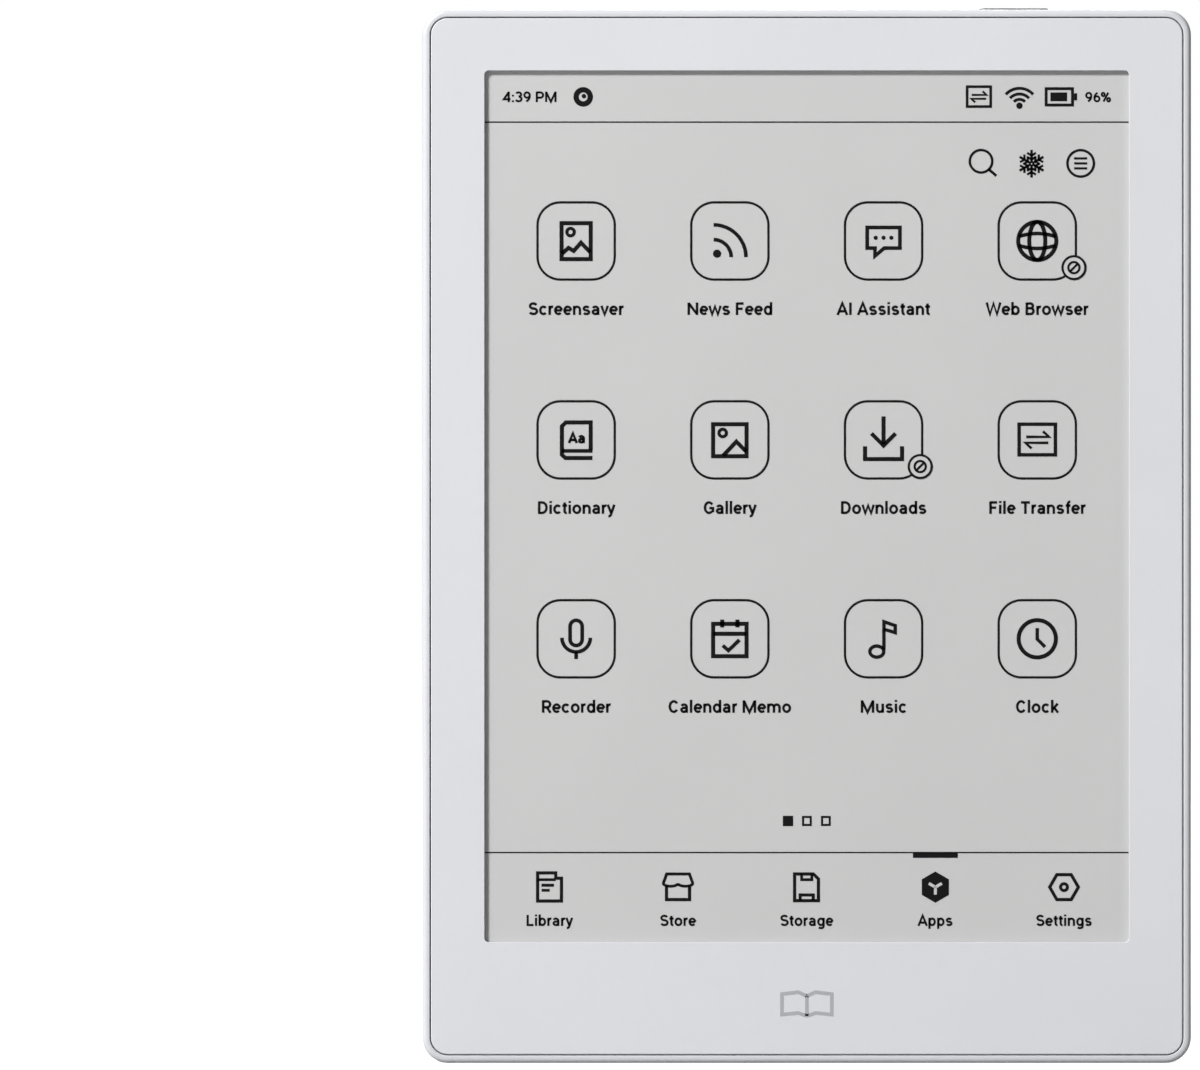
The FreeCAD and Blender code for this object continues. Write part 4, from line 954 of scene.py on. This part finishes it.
def drawFlake(art):
    # six spokes with two pairs of branches each
    flake = {"start": 0.1, "reach": 1.95, "roots": (1.15, 0.6), "climb": 0.38, "side": 0.62}
    for spoke in range(6):
        angle = math.radians(90 + 60 * spoke)
        along = Vector((math.cos(angle), math.sin(angle)))
        across = Vector((-along.y, along.x)) * flake["side"]
        art.line([along * flake["start"], along * flake["reach"]], 0.36)
        for root in flake["roots"]:
            tip = along * (root + flake["climb"])
            art.line([tip + across, along * root, tip - across], 0.32)


def drawMenu(art):
    art.ring((0, 0), 1.86, 0.36)
    for z in (-0.7, 0.0, 0.7):
        art.bar(-0.92, 0.92, z - 0.16, z + 0.16)


def drawPageMarks(art):
    art.bar(-3.35, -1.9, -0.73, 0.73)
    for x in (0.03, 2.7):
        art.frame(x - 0.54, x + 0.54, -0.56, 0.56, 0.3)


# name, place and drawing of each small sign over and under the tiles
signs = [
    ("status_badge", -31.4, statusBar["middle"], drawStatusBadge),
    ("status_transfer", 24.2, statusBar["middle"], drawSmallSwap),
    ("status_wireless", 29.9, statusBar["middle"] - 1.25, drawWireless),
    ("status_battery", 35.5, statusBar["middle"], drawBattery),
    ("tool_search", 24.5, 126.7, drawSearch),
    ("tool_freeze", 31.6, 126.35, drawFlake),
    ("tool_menu", 38.5, 126.4, drawMenu),
    ("page_marks", screenMid / mm, 34.0, drawPageMarks),
]


def drawSigns():
    makePlate("status_divider", 0, statusBar["divider"], drawDivider)
    cap = statusBar["cap"]
    baseline = statusBar["middle"] - cap / 2
    writeWords("status_time", "4:39 PM", statusBar["timeLeft"], baseline, cap, align="LEFT")
    writeWords("status_charge", "96%", statusBar["chargeLeft"], baseline, cap * statusBar["chargeSize"],
               align="LEFT")
    for sign in signs:
        makePlate(*sign)


navigation = {"divider": 29.56, "iconMiddle": 24.7, "baseline": 19.25, "cap": 1.55, "pitch": 18.08,
              "active": 3, "markerHalf": 3.15, "markerHeight": 0.75}


def drawLibrary(art):
    art.line([(-1.65, -1.95), (1.7, -1.95), (1.7, 1.25), (0.9, 1.25), (0.9, 2.0), (-1.65, 2.0)],
             0.46, closed=True)
    art.line([(-1.65, 1.05), (0.9, 1.05)], 0.4)
    art.bar(-1.1, 0.65, 0.06, 0.48)
    art.bar(-1.1, 0.05, -0.64, -0.24)


def drawShop(art):
    art.line([(-2.08, 0.52), (-1.6, 1.85), (1.6, 1.85), (2.08, 0.52)], 0.42)
    for x in (-1.04, 1.04):
        art.arc((x, 0.55), 0.42, 180, 360, 0.4, stretch=2.48)
    art.line([(-1.62, 0.2), (-1.62, -1.75), (1.62, -1.75), (1.62, 0.2)], 0.46)


def drawDisk(art):
    art.line([(-1.7, 1.85), (0.95, 1.85), (1.65, 1.15), (1.65, -1.9), (-1.7, -1.9)], 0.46, closed=True)
    art.line([(-0.72, 1.85), (-0.72, 1.05), (0.72, 1.05), (0.72, 1.85)], 0.4)
    art.line([(-0.92, -1.9), (-0.92, -1.1), (0.92, -1.1), (0.92, -1.9)], 0.44)


cube = {"radius": 2.2, "armEnd": 1.05, "armWidth": 0.4}


def hexagon(radius, turn):
    angles = [math.radians(turn + 60 * i) for i in range(6)]
    return [(radius * math.cos(angle), radius * math.sin(angle)) for angle in angles]


def drawCube(art):
    # a solid hexagon; the cube's three inner edges are laid over it in the paper's tone
    art.fill(hexagon(cube["radius"], 30))


def drawCubeEdges(x, z):
    art = Print(x, z, overPrint - inkDepth["gap"])
    for corner in hexagon(cube["armEnd"], 30)[::2]:
        art.line([(0, 0), corner], cube["armWidth"])
    art.finish("section_apps_edges", paperMaterial)


def drawNut(art):
    art.line(hexagon(2.02, 0), 0.46, closed=True)
    art.ring((0, 0), 0.48, 0.44)


# name, label and drawing
sections = [
    ("library", "Library", drawLibrary),
    ("store", "Store", drawShop),
    ("storage", "Storage", drawDisk),
    ("apps", "Apps", drawCube),
    ("settings", "Settings", drawNut),
]


def drawNavigation():
    makePlate("navigation_divider", 0, navigation["divider"], drawDivider)
    middle = (len(sections) - 1) / 2
    for number, (name, label, draw) in enumerate(sections):
        x = screenMid / mm + (number - middle) * navigation["pitch"]
        makePlate("section_" + name, x, navigation["iconMiddle"], draw)
        if name == "apps":
            drawCubeEdges(x, navigation["iconMiddle"])
        writeWords("section_label_" + name, label, x, navigation["baseline"], navigation["cap"])
    active = screenMid / mm + (navigation["active"] - middle) * navigation["pitch"]
    marker = Print(active, navigation["divider"])
    marker.bar(-navigation["markerHalf"], navigation["markerHalf"], -navigation["markerHeight"], 0)
    marker.finish("navigation_marker")


frontMark = {"middle": 8.05, "half": 3.5, "height": 3.9, "stroke": 0.5}


def drawFrontMark():
    # a small open book printed on the lower border
    art = Print(screenMid / mm, frontMark["middle"], bezelFace - inkDepth["gap"])
    half, height, stroke = frontMark["half"], frontMark["height"] / 2, frontMark["stroke"]
    for side in (-1, 1):
        curve, edge = side * half * 0.35, side * half
        art.line([(0, -height * 0.72), (curve, -height * 0.5), (edge, -height * 0.62),
                  (edge, height * 0.86), (curve, height), (0, height * 0.72)], stroke)
    art.line([(0, -height * 0.72), (0, height * 0.72)], stroke)
    art.finish("front_book_mark", markMaterial)


drawFrontMark()
drawSigns()
drawNavigation()
print("status bar, tool row, page marks and navigation ready")

# repeated details on the inner parts, made by Geometry Nodes
boardVias = {"outset": 0.42 * mm, "pitch": 0.95 * mm, "radius": 0.17 * mm, "wall": 0.12 * mm,
             "height": 0.02 * mm, "sides": 12}


def makeCanVias(can):
    # plated stitching vias in a row round a shield can's foot
    low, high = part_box(can)
    rig = Rig("canStitchingVias", {
        "Width": high.x - low.x + 2 * boardVias["outset"], "Height": high.z - low.z + 2 * boardVias["outset"],
        "Pitch": boardVias["pitch"], "Radius": boardVias["radius"], "Wall": boardVias["wall"],
        "Thickness": boardVias["height"],
    })
    route = rig.add("CurvePrimitiveQuadrilateral", {"Width": "Width", "Height": "Height"})
    spaced = rig.add("CurveToPoints", {"Curve": route, "Length": "Pitch"}, mode="LENGTH")
    circle = rig.add("CurvePrimitiveCircle", {"Resolution": boardVias["sides"], "Radius": "Radius"})
    vias = rig.spread(spaced, rig.sweep(circle, "Wall", "Thickness"))
    middle = (low + high) / 2
    place = (middle.x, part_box("main_board")[1].y + boardVias["height"] / 2, middle.z)
    rig.close(rig.upright(vias), place, "vias_" + can, viaMaterial, "gold_contact")


guideDots = {"columns": 48, "rows": 64, "margin": 2.2 * mm, "radius": 0.2 * mm, "height": 0.015 * mm,
             "depth": 0.02 * mm, "sides": 6, "near": 0.35, "least": 0.9, "most": 1.1, "seed": 7}


def makeGuideDots():
    # light-scattering dots just under the guide's rear face, larger the further they are from the lamps
    low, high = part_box("frontlight_guide")
    rig = Rig("guideScatterDots", {
        "Columns": guideDots["columns"], "Rows": guideDots["rows"],
        "Width": high.x - low.x - 2 * guideDots["margin"], "Height": high.z - low.z - 2 * guideDots["margin"],
        "Radius": guideDots["radius"], "Thickness": guideDots["height"], "Seed": guideDots["seed"],
    })
    disc = {"Vertices": guideDots["sides"], "Radius": "Radius", "Depth": "Thickness"}
    dot = rig.add("MeshCylinder", disc, fill_type="NGON")
    place = rig.add("InputPosition")
    share = rig.reckon("DIVIDE", rig.add("ShaderNodeSeparateXYZ", {"Vector": place}, out="Y"), "Height")
    grow = mapRange(rig.tree, share, -0.5, 0.5, guideDots["near"], 1.0)
    chance = {2: guideDots["least"], 3: guideDots["most"], "Seed": "Seed"}
    uneven = rig.add("FunctionNodeRandomValue", chance, out=1, data_type="FLOAT")
    dots = rig.spread(rig.grid("Width", "Height"), dot, Scale=rig.reckon("MULTIPLY", grow, uneven))
    middle = (low + high) / 2
    rig.close(rig.upright(dots), (middle.x, high.y - guideDots["depth"], middle.z), "guide_scatter_dots",
              dotMaterial, "light_guide")


antennaTrack = {"turns": 13, "pitch": 2.0 * mm, "margin": 2.2 * mm, "width": 0.45 * mm,
                "height": 0.02 * mm}


def makeAntennaMeander():
    # the antenna's folded copper track: legs in a row, joined at alternate ends by bridges
    low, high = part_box("wireless_antenna")
    rig = Rig("antennaMeander", {
        "Turns": antennaTrack["turns"], "Pitch": antennaTrack["pitch"],
        "Leg": (high.z - low.z) - 2 * antennaTrack["margin"],
        "Track Width": antennaTrack["width"], "Track Height": antennaTrack["height"],
    })
    post = rig.add("MeshCube", {"Size": rig.vector("Track Width", "Leg", "Track Height")})
    step = rig.vector("Pitch")
    legs = rig.spread(rig.row("Turns", step), post)
    span = rig.reckon("ADD", "Pitch", "Track Width")
    bridge = rig.add("MeshCube", {"Size": rig.vector(span, "Track Width", "Track Height")})
    odd = rig.reckon("MODULO", rig.add("InputIndex"), 2.0)
    rise = rig.reckon("MULTIPLY", mapRange(rig.tree, odd, 0.0, 1.0, -0.5, 0.5), "Leg")
    shift = rig.vector(rig.reckon("MULTIPLY", "Pitch", 0.5), rise)
    gaps = rig.row(rig.reckon("SUBTRACT", "Turns", 1.0), step)
    moved = rig.add("SetPosition", {"Geometry": gaps, "Offset": shift})
    both = rig.tree.nodes.new("GeometryNodeJoinGeometry")
    for part in (legs, rig.spread(moved, bridge)):
        rig.tree.links.new(part, both.inputs["Geometry"])
    width = (antennaTrack["turns"] - 1) * antennaTrack["pitch"]
    middle = (low + high) / 2
    place = (middle.x - width / 2, low.y - antennaTrack["height"] / 2, middle.z)
    track = rig.upright(both.outputs["Geometry"])
    rig.close(track, place, "antenna_meander_track", viaMaterial, "gold_contact")


ledLens = {"count": 12, "package": 3.0 * mm, "radius": 0.34 * mm, "widen": 2.2, "deepen": 0.5,
           "flatten": 0.35, "segments": 18, "rings": 9}


def makeLedLenses():
    # a soft resin dome on the light-giving side of each lamp
    low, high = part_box("frontlight_leds")
    package = ledLens["package"]
    rig = Rig("ledResinLenses", {
        "Count": ledLens["count"], "Pitch": (high.x - low.x - package) / (ledLens["count"] - 1),
        "Radius": ledLens["radius"], "Widen": ledLens["widen"], "Deepen": ledLens["deepen"],
        "Flatten": ledLens["flatten"],
    })
    ball = {"Segments": ledLens["segments"], "Rings": ledLens["rings"], "Radius": "Radius"}
    dome = rig.add("MeshUVSphere", ball)
    squash = rig.vector("Widen", "Deepen", "Flatten")
    domes = rig.spread(rig.row("Count", rig.vector("Pitch")), dome, Scale=squash)
    smooth = rig.add("SetShadeSmooth", {"Geometry": domes})
    place = (low.x + package / 2, (low.y + high.y) / 2, high.z)
    rig.close(smooth, place, "led_resin_lenses", lensMaterial, "led_package")


# the two pieces that give way under a moving part: each is copied into a plain piece of its own and the CAD
# original hidden
yielding = [
    {"node": "card_slider_spring", "piece": "slider_spring_coils", "joint": "card_slider_push",
     "fixedEnd": "top", "keep": 0.48, "slot": "spring_steel"},
    {"node": "power_switch_dome", "piece": "switch_snap_dome", "joint": "power_button_press",
     "fixedEnd": "low", "keep": 0.7, "slot": "spring_steel"},
]


def makeYieldingPieces():
    for part in yielding:
        shape = bmesh.new()
        shape.from_mesh(nodes[part["node"]].data)
        bmesh.ops.remove_doubles(shape, verts=shape.verts[:], dist=0.001 * mm)
        mesh = bpy.data.meshes.new(part["piece"])
        shape.to_mesh(mesh)
        shape.free()
        material = nodes[part["node"]].data.materials[0]
        piece = placePiece(part["piece"], mesh, material)
        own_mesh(piece)
        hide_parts(part["node"])


viaMaterial = metal("viaGold", (0.84, 0.62, 0.3), (0.7, 0.5, 0.22), 0.26, 0.03, 0.002).material
dotMaterial = polymer("scatterDotInk", (0.88, 0.89, 0.9), (0.78, 0.79, 0.8), 0.55, 0.03, 0.002).material
lensMaterial = polymer("phosphorResin", (0.86, 0.76, 0.36), (0.78, 0.66, 0.26), 0.22, 0.05, 0.002,
                       Transmission_Weight=0.35, IOR=1.52).material
makeCanVias("shield_can_processor")
makeCanVias("shield_can_power")
makeGuideDots()
makeAntennaMeander()
makeLedLenses()
makeYieldingPieces()
print("vias, scatter dots, antenna track, lamp lenses, spring and dome ready")
